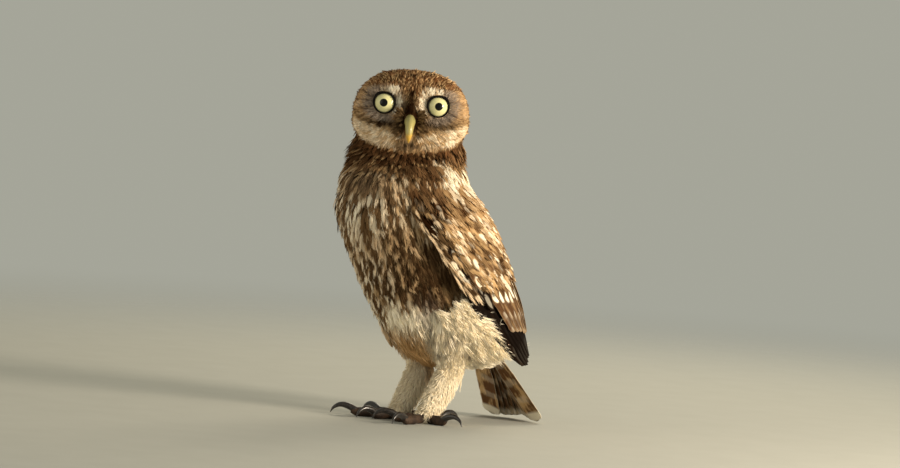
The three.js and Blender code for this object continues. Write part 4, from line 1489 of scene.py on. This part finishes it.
def wing_vanes(sign, rng):
    made = Vanes()
    for tier in WING_TIERS.values():
        for share in np.linspace(0, 1, tier["count"]):
            start = spline(tier["roots"], share)
            end = spline(tier["tips"], share) + rng.normal(0, 1, 2) * (0.006, 0.8)

            def place(s, start=start, end=end):
                return lerp(start[0], end[0], s), sign * np.radians(lerp(start[1], end[1], s**0.9))

            def path(s, place=place, lift=tier["lift"]):
                return wing_surface(*place(s), lerp(*lift, smoothstep(s, 0, 0.8)))

            def outward(s, place=place):
                return wing_out(*place(s))

            width = tier["width"] * rng.uniform(0.9, 1.1)
            form = {"hand": sign, "tilt": WING_TILT, "camber": 0.035 * width, "cut": 0.1}
            made.add(path, outward, width, tier["marks"], rng, **form)
    return made


def wing_out(t, angle):
    """The way out of the folded wing."""
    return unit(wing_surface(t, angle, 1.0 + 0 * t) - wing_surface(t, angle, 0.0 * t))


def wing_lines(sign, t, degrees, lift):
    """Places on one folded wing, and the way out of it there."""
    angle = sign * np.radians(degrees)
    return wing_surface(t, angle, lift), wing_out(t, angle)


COVERT_GAP = 3.1  # between the small coverts
COVERT_LENGTH = 12.0
COVERT_SPREAD = 0.47  # the share of the wing's length that they cover
EDGE_FEATHERS = 28  # in the thin pale line along the wing's front
WING_LENGTH = 128.0  # along the folded wing


def wing_coverts(side, sign, rng):
    """The small coverts and the scapulars: soft feathers in close rows over the arm."""
    rows = int(COVERT_SPREAD * WING_LENGTH / COVERT_GAP)
    t, angle = [], []
    for i in range(rows):
        level = -0.02 + COVERT_SPREAD * i / (rows - 1)
        on_wing = max(level, 0)
        half = float(spline([w[2] for w in WING], on_wing)[..., 0])
        low, high = leading_edge(on_wing), upper_edge(on_wing) + 14
        count = int(math.radians(high - low) * half / COVERT_GAP)
        across = (np.arange(count) + 0.5 * (i % 2)) / count
        t.append(level + rng.normal(0, 0.006 + 0.02 * (i < 3), count))
        angle.append(lerp(low, high, across) + rng.normal(0, 1.0, count))
    edge = np.linspace(0.12, 0.5, EDGE_FEATHERS)
    t, angle = np.concatenate([*t, edge]), np.concatenate([*angle, leading_edge(edge) - 1.5])
    thin = np.arange(len(t)) >= len(t) - EDGE_FEATHERS
    size = rng.uniform(0.85, 1.15, len(t)) * lerp(0.8, 1.15, smoothstep(t, 0.0, 0.4))
    lengths = COVERT_LENGTH * size
    steps = np.linspace(0, 1, LINE_STEPS + 1)[None]
    reach = t[:, None] + (lengths / WING_LENGTH)[:, None] * steps
    turned = angle[:, None] + 5.5 * steps * size[:, None]
    base = -2.6 + 0.8 * smoothstep(t, 0.0, 0.1)[:, None] + 0 * steps
    lines, outs = wing_lines(sign, reach, turned, base)
    lifts = lerp(2.4, 4.3, smoothstep(t, 0.0, 0.15)) * rng.uniform(0.85, 1.1, len(t))
    widths = np.where(thin, 0.9, 2.8 * size)
    marks = covert_marks(lines[:, LINE_STEPS // 2], t, angle, thin)
    base_map = np.stack([angle / 190, 0.05 + 1.8 * t], axis=1)
    templates = [contour_template(rng, barbs=9, loose=0.5) for _ in range(KINDS)]
    name, sizes = f"wing_{side}_coverts", (lengths, widths, lifts)
    lay_tufts(name, (lines, outs), sizes, templates, marks, base_map, rng, "flight_feathers")


def covert_marks(points, t, angle, thin):
    """Brown with buff patches and pale drops, darker at the shoulder and along the front edge."""
    patches = noise(points * (1, 1, 0.6), 5.5, 14)
    fine = noise(points, 2.6, 15)
    upper = smoothstep(angle, 115, 145)
    shoulder = 1 - smoothstep(t, 0.04, 0.24)
    nape = (1 - smoothstep(t, 0.07, 0.13)) * smoothstep(angle, 80, 92)
    front = 1 - smoothstep(angle - leading_edge(t), 5, 14)
    mantle = (1 - smoothstep(t, 0.02, 0.1)) * (1 - nape)
    speck = smoothstep(fine, 0.0, 0.5)
    dark = 0.1 + 0.6 * np.clip(-patches - 0.2 * fine, 0, 1) + 0.15 * shoulder + 0.6 * front
    drop = np.clip(0.55 + 0.6 * fine + 0.5 * upper - 0.6 * shoulder, 0, 1)
    marks = {
        "pale": lerp(0.36 + 0.5 * patches + 0.15 * fine, 0.95, nape) - 0.5 * speck * nape,
        "dark": lerp(np.clip(dark, 0, 1), 0.2 * speck, nape),
        "rust": 0.3 * shoulder + 0.2 * upper + 0.1,
        "drop": drop * (1 - nape) * (1 - mantle),
    }
    overlay(marks, mantle, pale=0.25, dark=0.5 + 0.3 * fine, rust=0.5)
    overlay(marks, nape, rust=0.3 * speck)
    for name, value in (("pale", 0.7), ("dark", 0.0), ("rust", 0.0), ("drop", 0.0)):
        marks[name] = np.where(thin, value, marks[name])
    return marks_of(len(points), streak=0.2, **marks)


def flight_finish(name, tip, rim):
    """Large feathers: brown with pale spots, bars, edge and tip, and barbs that run out from the shaft."""
    palette = colours()
    finish = Finish(name, roughness=0.75, specular_ior_level=0.06)
    along, across, chance = finish.parts("place")
    spotted, barred, dusk = finish.parts("marks")
    place = finish.attribute("place", "Vector")
    multiplied = {"operation": "MULTIPLY"}
    stretched = finish.node("ShaderNodeVectorMath", multiplied, {0: place, 1: (6.0, 1.8, 91.0)})
    cloud = finish.cloud(stretched, 1.0, 3.0) - 0.5
    outer = (along - 0.84) / 0.13
    near = (across + 0.25 + cloud * 0.5) / 0.5
    drop = 1 - (outer * outer + near * near + cloud).between(0.5, 1.1)
    row = ((along * 4.5 - 0.75 + (chance - 0.5) * 0.45 + cloud * 0.4).fraction() - 0.5) / 0.3
    spots = 1 - (row * row + near * near).between(0.4, 1.1)
    bars = row.abs().between(0.85, 0.3) * across.between(-0.9, -0.2)
    upper = along.between(0.2, 0.35) * (1 - along.between(0.55, 0.64))
    pale = spotted * (drop * (1 - barred) + spots * barred * upper * (0.5 + chance)).clamped()
    pale = pale + bars * barred * (1 - dusk) * 0.7
    edge = across.abs().between(1 - rim, 1.0) * rim * 2 + along.between(0.87, 0.95) * tip
    colour = finish.mix(dusk, palette.brown, palette.dark)
    colour = finish.mix(cloud.between(-0.08, 0.15) * (1 - dusk) * 0.6, colour, palette.buff)
    colour = finish.mix(pale, colour, palette.cream)
    colour = finish.mix(edge * (1 - dusk * 0.9), colour, finish.mix(tip, palette.buff, palette.cream))
    barbs = (along * 260 - across.abs() * 60).sine()
    level = 1.0 + barbs * 0.06 + (chance - 0.5) * 0.3 - dusk.between(0.6, 1.0) * 0.7
    return finish.done(finish.shade(colour, level), None, finish.bump(barbs, 0.00005, 0.5))


def shaft_finish():
    return Finish("shaft", roughness=0.45).done(tuple(0.5 * c for c in colours().buff))


PLUME_ROWS = 12  # of flank plumes, from the belly out to the wing's front edge
PLUME_GAP = 1.7  # along each row


def flank_plumes(side, sign, rng):
    """White plumes from the flank that lie over the wing's front edge."""
    rows, count = PLUME_ROWS, int(0.3 * WING_LENGTH / PLUME_GAP)
    inner = np.repeat(np.linspace(1, 0, rows), count)
    t = lerp(0.55 + 0.06 * inner, 0.82, np.tile(np.linspace(0, 1, count), rows))
    t = t + rng.normal(0, 0.012, count * rows)
    angle = leading_edge(t) - lerp(9, 38, inner) + rng.normal(0, 0.8, count * rows)
    angle = angle - 12 * smoothstep(t, 0.66, 0.82)
    lengths = lerp(6.0, 15.0, smoothstep(t, 0.52, 0.72)) * rng.uniform(0.75, 1.2, len(t))
    steps = np.linspace(0, 1, LINE_STEPS + 1)[None]
    drift = rng.uniform(0.3, lerp(0.9, 0.6, smoothstep(t, 0.6, 0.7)))
    reach = t[:, None] + (1.1 - 0.5 * drift)[:, None] * (lengths / WING_LENGTH)[:, None] * steps
    turned = angle[:, None] + (drift * lengths)[:, None] * steps
    base = lerp(-3.0, -0.7, smoothstep(reach, 0.57, 0.7)) - 2.6 * inner[:, None]
    ways = wing_lines(sign, reach, turned, base)
    sizes = (lengths, 2.6 * rng.uniform(0.8, 1.2, len(t)), lerp(2.8, 3.6, rng.random(len(t))))
    marks = marks_of(len(t), pale=1.0)
    base_map = np.stack([angle / 190, t], axis=1)
    templates = [plume_template(rng) for _ in range(6)]
    lay_tufts(f"flank_plumes_{side}", ways, sizes, templates, marks, base_map, rng, "pale_plumage")


class OWL_OT_wings(bpy.types.Operator):
    """Lays the flight feathers and coverts of both wings"""

    bl_idname = "owl.wings"
    bl_label = "Wings"

    def execute(self, context):
        finish = flight_finish("large_feathers", tip=0.4, rim=0.12)
        for side, sign in SIDES.items():
            rng = np.random.default_rng(coat_settings().seed + 3)
            vanes = wing_vanes(sign, rng)
            made = vanes.build(f"wing_{side}_vanes", finish, "flight_feathers")
            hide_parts(f"wing_{side}")
            wing_coverts(side, sign, rng)
            flank_plumes(side, sign, rng)
        return {"FINISHED"}


class OWL_OT_tail(bpy.types.Operator):
    """Lays the tail feathers with their raised shafts"""

    bl_idname = "owl.tail"
    bl_label = "Tail"

    pairs = 6
    width = 12.5
    layer = 0.9  # of height from pair to pair
    fan = 2.8  # degrees from feather to feather
    root_gap = 0.55
    # How strongly the outermost pair and the others are spotted, barred and dark.
    outermost_marks = (0.0, 0.15, -1.2)
    other_marks = (0.0, 0.36, 0.4)

    def execute(self, context):
        rng = np.random.default_rng(coat_settings().seed + 4)
        root, end = TAIL_ROOT + GROUND, TAIL_END + GROUND
        ahead = unit(end - root)
        out = np.array([0, -ahead[2], ahead[1]])
        long = np.linalg.norm(end - root)
        made = Vanes(along=20)
        for i in range(self.pairs):
            order = self.pairs - 1 - i
            for sign in (-1, 1):
                turn = math.radians(1.4 + order * self.fan)
                way = ahead * math.cos(turn) + np.array([sign * math.sin(turn), 0, 0])
                first = order * self.root_gap
                start = root + np.array([sign * first, 0, 0])
                lift = (i - (self.pairs - 1) / 2) * self.layer + 0.25 * (sign > 0)
                length = long - 0.1 * order + 0.6 * rng.uniform(-1, 1)

                def path(s, start=start, way=way, lift=lift, length=length, first=first, turn=turn):
                    aside = first + length * s * math.sin(turn)
                    return start + way * (length * s)[:, None] + out * (lift - 0.0035 * aside**2)[:, None]

                def outward(s):
                    return np.tile(out, (len(s), 1))

                marks = self.outermost_marks if i == 0 else self.other_marks
                made.add(path, outward, self.width, marks, rng, hand=sign, camber=0.5, blunt=0.93)
        finish = flight_finish("tail_feathers", tip=1.0, rim=0.1)
        tail = made.build("tail_vanes", finish, "flight_feathers")
        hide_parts("tail")
        made.build_shafts("tail_shafts", shaft_finish(), "flight_feathers")
        return {"FINISHED"}


# Eyes


class OWL_OT_eyes(bpy.types.Operator):
    """Makes each eye, with its bulging clear front, and the dark lids round it"""

    bl_idname = "owl.eyes"
    bl_label = "Eyes and lids"

    def execute(self, context):
        finish = self.eye_finish()
        for side, sign in SIDES.items():
            axis = unit(np.array([sign * math.sin(EYE_OUTWARD), 0, math.cos(EYE_OUTWARD)]) @ HEAD_AXES)
            across = unit(np.cross(UP, axis))
            axes = np.array([across, np.cross(axis, across), axis])
            self.eyeball(side, EYES[sign], axes, finish)
            self.lids(side, EYES[sign], axes)
        return {"FINISHED"}

    def eyeball(self, side, middle, axes, finish):
        polar = np.linspace(0.01, np.pi - 0.01, 48)[:, None]
        angles = np.linspace(0, 2 * np.pi, 64, endpoint=False)[None]
        out = EYE_RADIUS * np.sin(polar) + 0 * angles
        bulge = 0.9 * hump(out, 4.6) * (np.cos(polar) > 0)
        ahead = EYE_RADIUS * np.cos(polar) + bulge - 0.25
        flat = np.stack([out * np.cos(angles), out * np.sin(angles), ahead + 0 * angles], axis=-1)
        rings = middle + flat @ axes
        points, faces = loft(rings[:, ::-1])
        layers = {"look": (points - middle) @ axes.T}
        made = new_object(f"eyeball_{side}", points, faces, finish, "iris", layers)
        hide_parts(f"eye_{side}")

    def eye_finish(self):
        """A pale iris with fine rays and a dark rim round the black pupil, under a clear coat."""
        coat = {"coat_weight": 0.4, "coat_roughness": 0.02}
        finish = Finish("clear_eye", roughness=0.35, specular_ior_level=0.1, **coat)
        x, y, _ = finish.parts("look")
        out = (x * x + y * y).square_root()
        turn = y.math("ARCTAN2", y, x)
        look = finish.attribute("look", "Vector")
        rays = (turn * 46 + (turn * 17).sine() * 2).sine()
        cloud = finish.cloud(look, 0.9, 3.0)
        pupil_side = out.between(2.05, 2.25)
        rim = out.between(4.7, 5.6)
        colour = finish.mix(cloud.between(0.3, 0.8) * 0.5, colours().iris, (0.8, 0.75, 0.3))
        colour = finish.mix((rays * 0.5 + 0.5) * 0.12 * out.between(1.5, 4.0), colour, (0.35, 0.3, 0.05))
        colour = finish.mix(rim * 0.85, colour, (0.05, 0.035, 0.01))
        colour = finish.mix(1 - pupil_side, colour, (0.0, 0.0, 0.0))
        return finish.done(colour)

    def lids(self, side, middle, axes):
        """A rolled dark rim, a little flatter above where the brow presses on it."""
        across, upward, axis = axes
        around, turns = 72, 14
        angle = np.linspace(0, 2 * np.pi, around, endpoint=False)
        roll = np.linspace(0, 2 * np.pi, turns, endpoint=False)
        turned = np.degrees(angle)
        outer_top = 90 - SIDES[side] * 40
        opening = 5.35 - 0.5 * hump(turned - 90, 40)
        deep = np.sqrt(EYE_RADIUS**2 - opening**2)
        thick = 0.56 + 0.14 * np.sin(angle) + 0.2 * hump(turned - outer_top, 16)
        radius = opening[:, None] + thick[:, None] * (0.8 - np.cos(roll)[None])
        ahead = deep[:, None] + 0.35 + thick[:, None] * np.sin(roll)[None] * 1.1
        crease = 1 + 0.05 * np.sin(angle * 23)[:, None] * np.sin(roll)[None]
        outward = np.cos(angle)[:, None, None] * across + np.sin(angle)[:, None, None] * upward
        ring = radius[..., None] * outward + (ahead * crease)[..., None] * axis
        points = (middle + ring).reshape(-1, 3)

        def index(a, b):
            return (a % around) * turns + b % turns

        i, j = np.meshgrid(np.arange(around), np.arange(turns), indexing="ij")
        corners = (index(i, j), index(i, j + 1), index(i + 1, j + 1), index(i + 1, j))
        quads = np.stack(corners, axis=-1).reshape(-1, 4)
        finish = Finish(f"lid_{side}", roughness=0.75, specular_ior_level=0.1)
        grain = finish.node("ShaderNodeTexNoise", None, {"Scale": 3000.0, "Detail": 2.0})
        colour = finish.mix(grain, (0.002, 0.0015, 0.001), (0.01, 0.007, 0.006))
        material = finish.done(colour, None, finish.bump(grain, 0.00008, 0.5))
        new_object(f"lids_{side}", points, [quads], material, "plumage")


# Bill

# The bill from inside the face to its tip: ahead and up from the head's middle, half-width, half-height.
BILL_UPPER = [
    (15, 0.5, 2.7, 3.1),
    (21.5, 1.5, 2.7, 3.2),
    (25.6, 0.2, 2.6, 3.1),
    (28.2, -2.9, 2.3, 2.7),
    (28.9, -6.1, 1.8, 2.0),
    (28.2, -8.7, 1.05, 1.15),
    (27.4, -10.5, 0.2, 0.25),
]
BILL_LOWER = [(15, -5.3, 2.4, 1.6), (20, -5.9, 2.2, 1.6), (23.6, -6.7, 1.7, 1.2), (25.6, -8.1, 0.7, 0.45)]


class OWL_OT_bill(bpy.types.Operator):
    """Makes the hooked bill with its soft nostril swellings"""

    bl_idname = "owl.bill"
    bl_label = "Bill"

    def execute(self, context):
        finish = self.finish()
        upper = self.horn(BILL_UPPER, ASIDE, self.culmen)
        made = new_object("upper_bill", *upper, finish, "bill")
        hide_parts("bill_upper")
        lower = self.horn(BILL_LOWER, UP, None)
        made = new_object("lower_bill", *lower, finish, "bill")
        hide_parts("bill_lower")
        return {"FINISHED"}

    def horn(self, stations, up, shape):
        path = [from_head([0, rise, ahead]) for ahead, rise, _, _ in stations]
        across = [s[2] for s in stations]
        deep = [s[3] for s in stations]
        sizes = (deep, across) if up is ASIDE else (across, deep)
        return loft(tube(path, *sizes, 40, 32, up, shape))

    def culmen(self, share, angle):
        """Narrows the ridge along the top a little, and swells round each nostril."""
        ridge = 1 + 0.04 * np.cos(2 * angle)
        swelling = 0.16 * hump(share - 0.3, 0.07) * np.abs(np.sin(angle))
        return ridge + swelling * (np.cos(angle) < 0.4)

    def finish(self):
        """Olive horn, yellow towards the tip, with faint streaks."""
        finish = Finish("bill_horn", roughness=0.32, coat_weight=0.25, coat_roughness=0.15)
        place = finish.object_place()
        height = finish.node("ShaderNodeSeparateXYZ", None, {0: place}, 2)
        level = HEAD_MIDDLE[2] * MM
        tip = height.between(level - 0.0045, level - 0.0075)
        base = height.between(level - 0.001, level + 0.003)
        streaks = finish.cloud(place, 900.0, 4.0)
        colour = finish.mix(tip, colours().horn, (0.68, 0.4, 0.06))
        colour = finish.mix(base * 0.5, colour, (0.25, 0.24, 0.1))
        colour = finish.mix(streaks.between(0.5, 0.75) * 0.3, colour, (0.2, 0.16, 0.05))
        return finish.done(colour, 0.25 + streaks * 0.2, finish.bump(streaks, 0.00008, 0.25))


# Feet

# Where each toe points, in degrees outward from straight ahead, and its length without the claw.
TOES = {
    "left": {"hind": (180, 14), "inner": (-34, 17), "middle": (14, 21.5), "outer": (97, 14)},
    "right": {"hind": (200, 14), "inner": (4, 17.5), "middle": (43, 25), "outer": (92, 17)},
}
TOE_RADIUS, CLAW_RADIUS, CLAW_LENGTH = 2.5, 1.75, 12.0
# The claw's arc, as shares of its length ahead of the toe and heights over the floor.
CLAW_ARC = [(-0.15, 3.2), (0.2, 5.2), (0.55, 5.7), (0.85, 3.9), (1, 0.9)]


class OWL_OT_feet(bpy.types.Operator):
    """Makes the scaly toes with their pads and the hooked claws"""

    bl_idname = "owl.feet"
    bl_label = "Toes and claws"

    def execute(self, context):
        scales, sheath = self.skin(), self.horn()
        for side, sign in SIDES.items():
            centre = node_middle(f"foot_{side}") * (1, 1, 0)
            for name, (turn, long) in TOES[side].items():
                angle = math.radians(turn)
                ahead = np.array([sign * math.sin(angle), -math.cos(angle), 0])
                toe = self.toe(centre, ahead, long)
                made = new_object(f"scaly_toe_{side}_{name}", *toe, scales, "toe_skin")
                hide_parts(f"toe_{side}_{name}")
                claw = self.claw(centre, ahead, long)
                made = new_object(f"horn_claw_{side}_{name}", *claw, sheath, "claw_horn")
                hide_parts(f"claw_{side}_{name}")
        return {"FINISHED"}

    def path(self, centre, ahead, stations):
        """Places by how far they are from the foot's middle and how high over the floor."""
        return [centre + ahead * distance + UP * height for distance, height in stations]

    def toe(self, centre, ahead, long):
        joints = [(1, 3.0), (long * 0.35, 2.6), (long * 0.62, 2.5), (long * 0.86, 2.4), (long + 0.6, 3.1)]
        path = self.path(centre, ahead, joints)
        sizes = [TOE_RADIUS * share for share in (1.05, 0.96, 1.04, 0.98, 0.62)]

        def scales(share, angle):
            top = np.clip(np.sin(angle), 0, 1)
            scutes = 0.05 * np.abs(np.sin(share * long * 1.15)) * top
            pads = 0.1 * np.abs(np.sin(share * np.pi * 3)) * np.clip(-np.sin(angle), 0, 1)
            return 0.96 + scutes + pads

        rings = tube(path, sizes, [r * 1.02 for r in sizes], 60, 28, UP, scales)
        rings[..., 2] = np.maximum(rings[..., 2], FLOOR_GAP)
        return loft(rings)

    def claw(self, centre, ahead, long):
        arc = [(long + share * CLAW_LENGTH, height) for share, height in CLAW_ARC]
        path = self.path(centre, ahead, arc)
        sizes = [CLAW_RADIUS * share for share in (0.98, 0.9, 0.7, 0.42, 0.06)]
        return loft(tube(path, sizes, [r * 1.12 for r in sizes], 40, 20, UP + 0.3 * ahead))

    def skin(self):
        """Dark skin in small raised scales."""
        finish = Finish("toe_scales", roughness=0.7, specular_ior_level=0.3)
        place = finish.object_place()
        cells = finish.node("ShaderNodeTexVoronoi", None, {"Vector": place, "Scale": 900.0})
        cloud = finish.cloud(place, 260.0, 3.0)
        colour = finish.mix(cloud.between(0.35, 0.75), colours().toe, (0.075, 0.042, 0.024))
        colour = finish.mix(cells.between(0.5, 0.9) * 0.5, colour, (0.02, 0.012, 0.008))
        return finish.done(colour, None, finish.bump(cells, 0.0002, 0.6))

    def horn(self):
        """Near-black horn, glossy, with faint streaks."""
        finish = Finish("claw_sheath", roughness=0.28, coat_weight=0.3, coat_roughness=0.1)
        place = finish.object_place()
        streaks = finish.cloud(place, 1200.0, 3.0)
        colour = finish.mix(streaks.between(0.4, 0.8), (0.008, 0.006, 0.006), (0.05, 0.038, 0.03))
        return finish.done(colour, 0.2 + streaks * 0.25)


# Stage

PIXEL = 0.545  # millimetres of the bird to a pixel of the picture
PICTURE_WIDTH, PICTURE_HEIGHT = 900, 468
FEET_PIXEL = (410, 421)  # where the point between the feet lies in the picture
CAMERA_TURN, CAMERA_RISE, CAMERA_ROLL = math.radians(45), math.radians(3), math.radians(4.3)
LENS, SENSOR = 200.0, 36.0
FLOOR_RADIUS = 1.2  # metres
LIGHTS_MIDDLE = (0, 0, 0.1)  # metres

# Each lamp's colour, where it stands in degrees round the bird and up, and its distance and size in metres.
LAMPS = {
    "key": {"colour": (1.0, 0.87, 0.69), "azimuth": 108, "elevation": 11, "distance": 0.9, "size": 0.3},
    "fill": {"colour": (1.0, 0.9, 0.76), "azimuth": -15, "elevation": 6, "distance": 1.0, "size": 0.8},
    "rim": {"colour": (1.0, 0.88, 0.68), "azimuth": 205, "elevation": 38, "distance": 0.9, "size": 0.4},
}
RIM_SHARE = 0.3  # of the key light's power
SURROUNDINGS = (0.42, 0.42, 0.355, 1)


class OWL_OT_stage(bpy.types.Operator):
    """Sets the camera, the soft studio lights and the pale floor"""

    bl_idname = "owl.stage"
    bl_label = "Stage"

    def execute(self, context):
        self.camera(context.scene)
        self.lights(context.scene)
        self.floor(context.scene)
        return {"FINISHED"}

    def camera(self, scene):
        turn, rise, roll = CAMERA_TURN, CAMERA_RISE, CAMERA_ROLL
        back = np.array([math.sin(turn) * math.cos(rise), -math.cos(turn) * math.cos(rise), math.sin(rise)])
        right = np.array([math.cos(turn), math.sin(turn), 0])
        above = np.cross(back, right)
        across = right * math.cos(roll) + above * math.sin(roll)
        upward = above * math.cos(roll) - right * math.sin(roll)
        aim = across * (PICTURE_WIDTH / 2 - FEET_PIXEL[0]) + upward * (FEET_PIXEL[1] - PICTURE_HEIGHT / 2)
        distance = PICTURE_WIDTH * PIXEL * LENS / SENSOR
        place = (GROUND + aim * PIXEL + back * distance) * MM
        data = bpy.data.cameras.new("camera")
        data.lens, data.sensor_width = LENS, SENSOR
        data.clip_end = 50
        made = bpy.data.objects.new("camera", data)
        scene.collection.objects.link(made)
        matrix = Matrix((across, upward, back)).transposed().to_4x4()
        matrix.translation = Vector(place)
        made.matrix_world = matrix
        scene.camera = made

    def lights(self, scene):
        settings = scene.owl_light
        powers = {"key": settings.key, "fill": settings.fill, "rim": settings.key * RIM_SHARE}
        for name, power in powers.items():
            self.lamp(scene, name, power, **LAMPS[name])
        world = bpy.data.worlds.new("surroundings")
        world.use_nodes = True
        sky = world.node_tree.nodes["Background"]
        sky.inputs["Color"].default_value = SURROUNDINGS
        sky.inputs["Strength"].default_value = settings.world
        scene.world = world
        scene.view_settings.view_transform = "Standard"

    def lamp(self, scene, name, power, colour, azimuth, elevation, distance, size):
        data = bpy.data.lights.new(name, "AREA")
        data.energy, data.color, data.size = power, colour, size
        made = bpy.data.objects.new(name, data)
        scene.collection.objects.link(made)
        a, e = math.radians(azimuth), math.radians(elevation)
        way = Vector((math.sin(a) * math.cos(e), -math.cos(a) * math.cos(e), math.sin(e)))
        made.location = Vector(LIGHTS_MIDDLE) + way * distance
        made.rotation_mode = "QUATERNION"
        made.rotation_quaternion = way.to_track_quat("Z", "Y")

    def floor(self, scene):
        """A pale disc whose rim fades into the surroundings."""
        mesh = bpy.data.meshes.new("floor")
        turns = np.linspace(0, 2 * np.pi, 96, endpoint=False)
        rim = [(FLOOR_RADIUS * math.cos(a), FLOOR_RADIUS * math.sin(a), 0) for a in turns]
        mesh.from_pydata(rim, [], [list(range(len(rim)))])
        made = bpy.data.objects.new("floor", mesh)
        scene.collection.objects.link(made)
        finish = Finish("floor", roughness=0.9, specular_ior_level=0.05)
        place = finish.object_place()
        grain = finish.cloud(place, 40.0, 4.0)
        out = finish.node("ShaderNodeVectorMath", {"operation": "LENGTH"}, {0: place}, "Value")
        fade = out.between(FLOOR_RADIUS * 0.95, FLOOR_RADIUS * 0.25)
        colour = finish.mix(grain, (0.44, 0.44, 0.4), (0.48, 0.48, 0.44))
        mesh.materials.append(finish.done(colour, alpha=fade))


# Panel and running


OPERATORS = (
    OWL_OT_skin,
    OWL_OT_eyes,
    OWL_OT_bill,
    OWL_OT_feet,
    OWL_OT_head_coat,
    OWL_OT_bristles,
    OWL_OT_body_coat,
    OWL_OT_leg_coat,
    OWL_OT_wings,
    OWL_OT_tail,
    OWL_OT_stage,
)


class OWL_PT_panel(bpy.types.Panel):
    """Lists the owl's pieces in the order in which they are made"""

    bl_idname = "OWL_PT_panel"
    bl_label = "Little Owl"
    bl_space_type = "VIEW_3D"
    bl_region_type = "UI"
    bl_category = "Owl"

    def draw(self, context):
        for operator in OPERATORS:
            self.layout.operator(operator.bl_idname)


GROUPS = {"owl_coat": OwlCoat, "owl_colours": OwlColours, "owl_light": OwlLight}


def register():
    for name, group in GROUPS.items():
        bpy.utils.register_class(group)
        setattr(bpy.types.Scene, name, PointerProperty(type=group))
    for made in (*OPERATORS, OWL_PT_panel):
        bpy.utils.register_class(made)


def unregister():
    for made in (OWL_PT_panel, *reversed(OPERATORS)):
        bpy.utils.unregister_class(made)
    for name, group in GROUPS.items():
        delattr(bpy.types.Scene, name)
        bpy.utils.unregister_class(group)


def main():
    register()
    for operator in OPERATORS:
        group, name = operator.bl_idname.split(".")
        getattr(getattr(bpy.ops, group), name)()


if __name__ == "__main__":
    main()
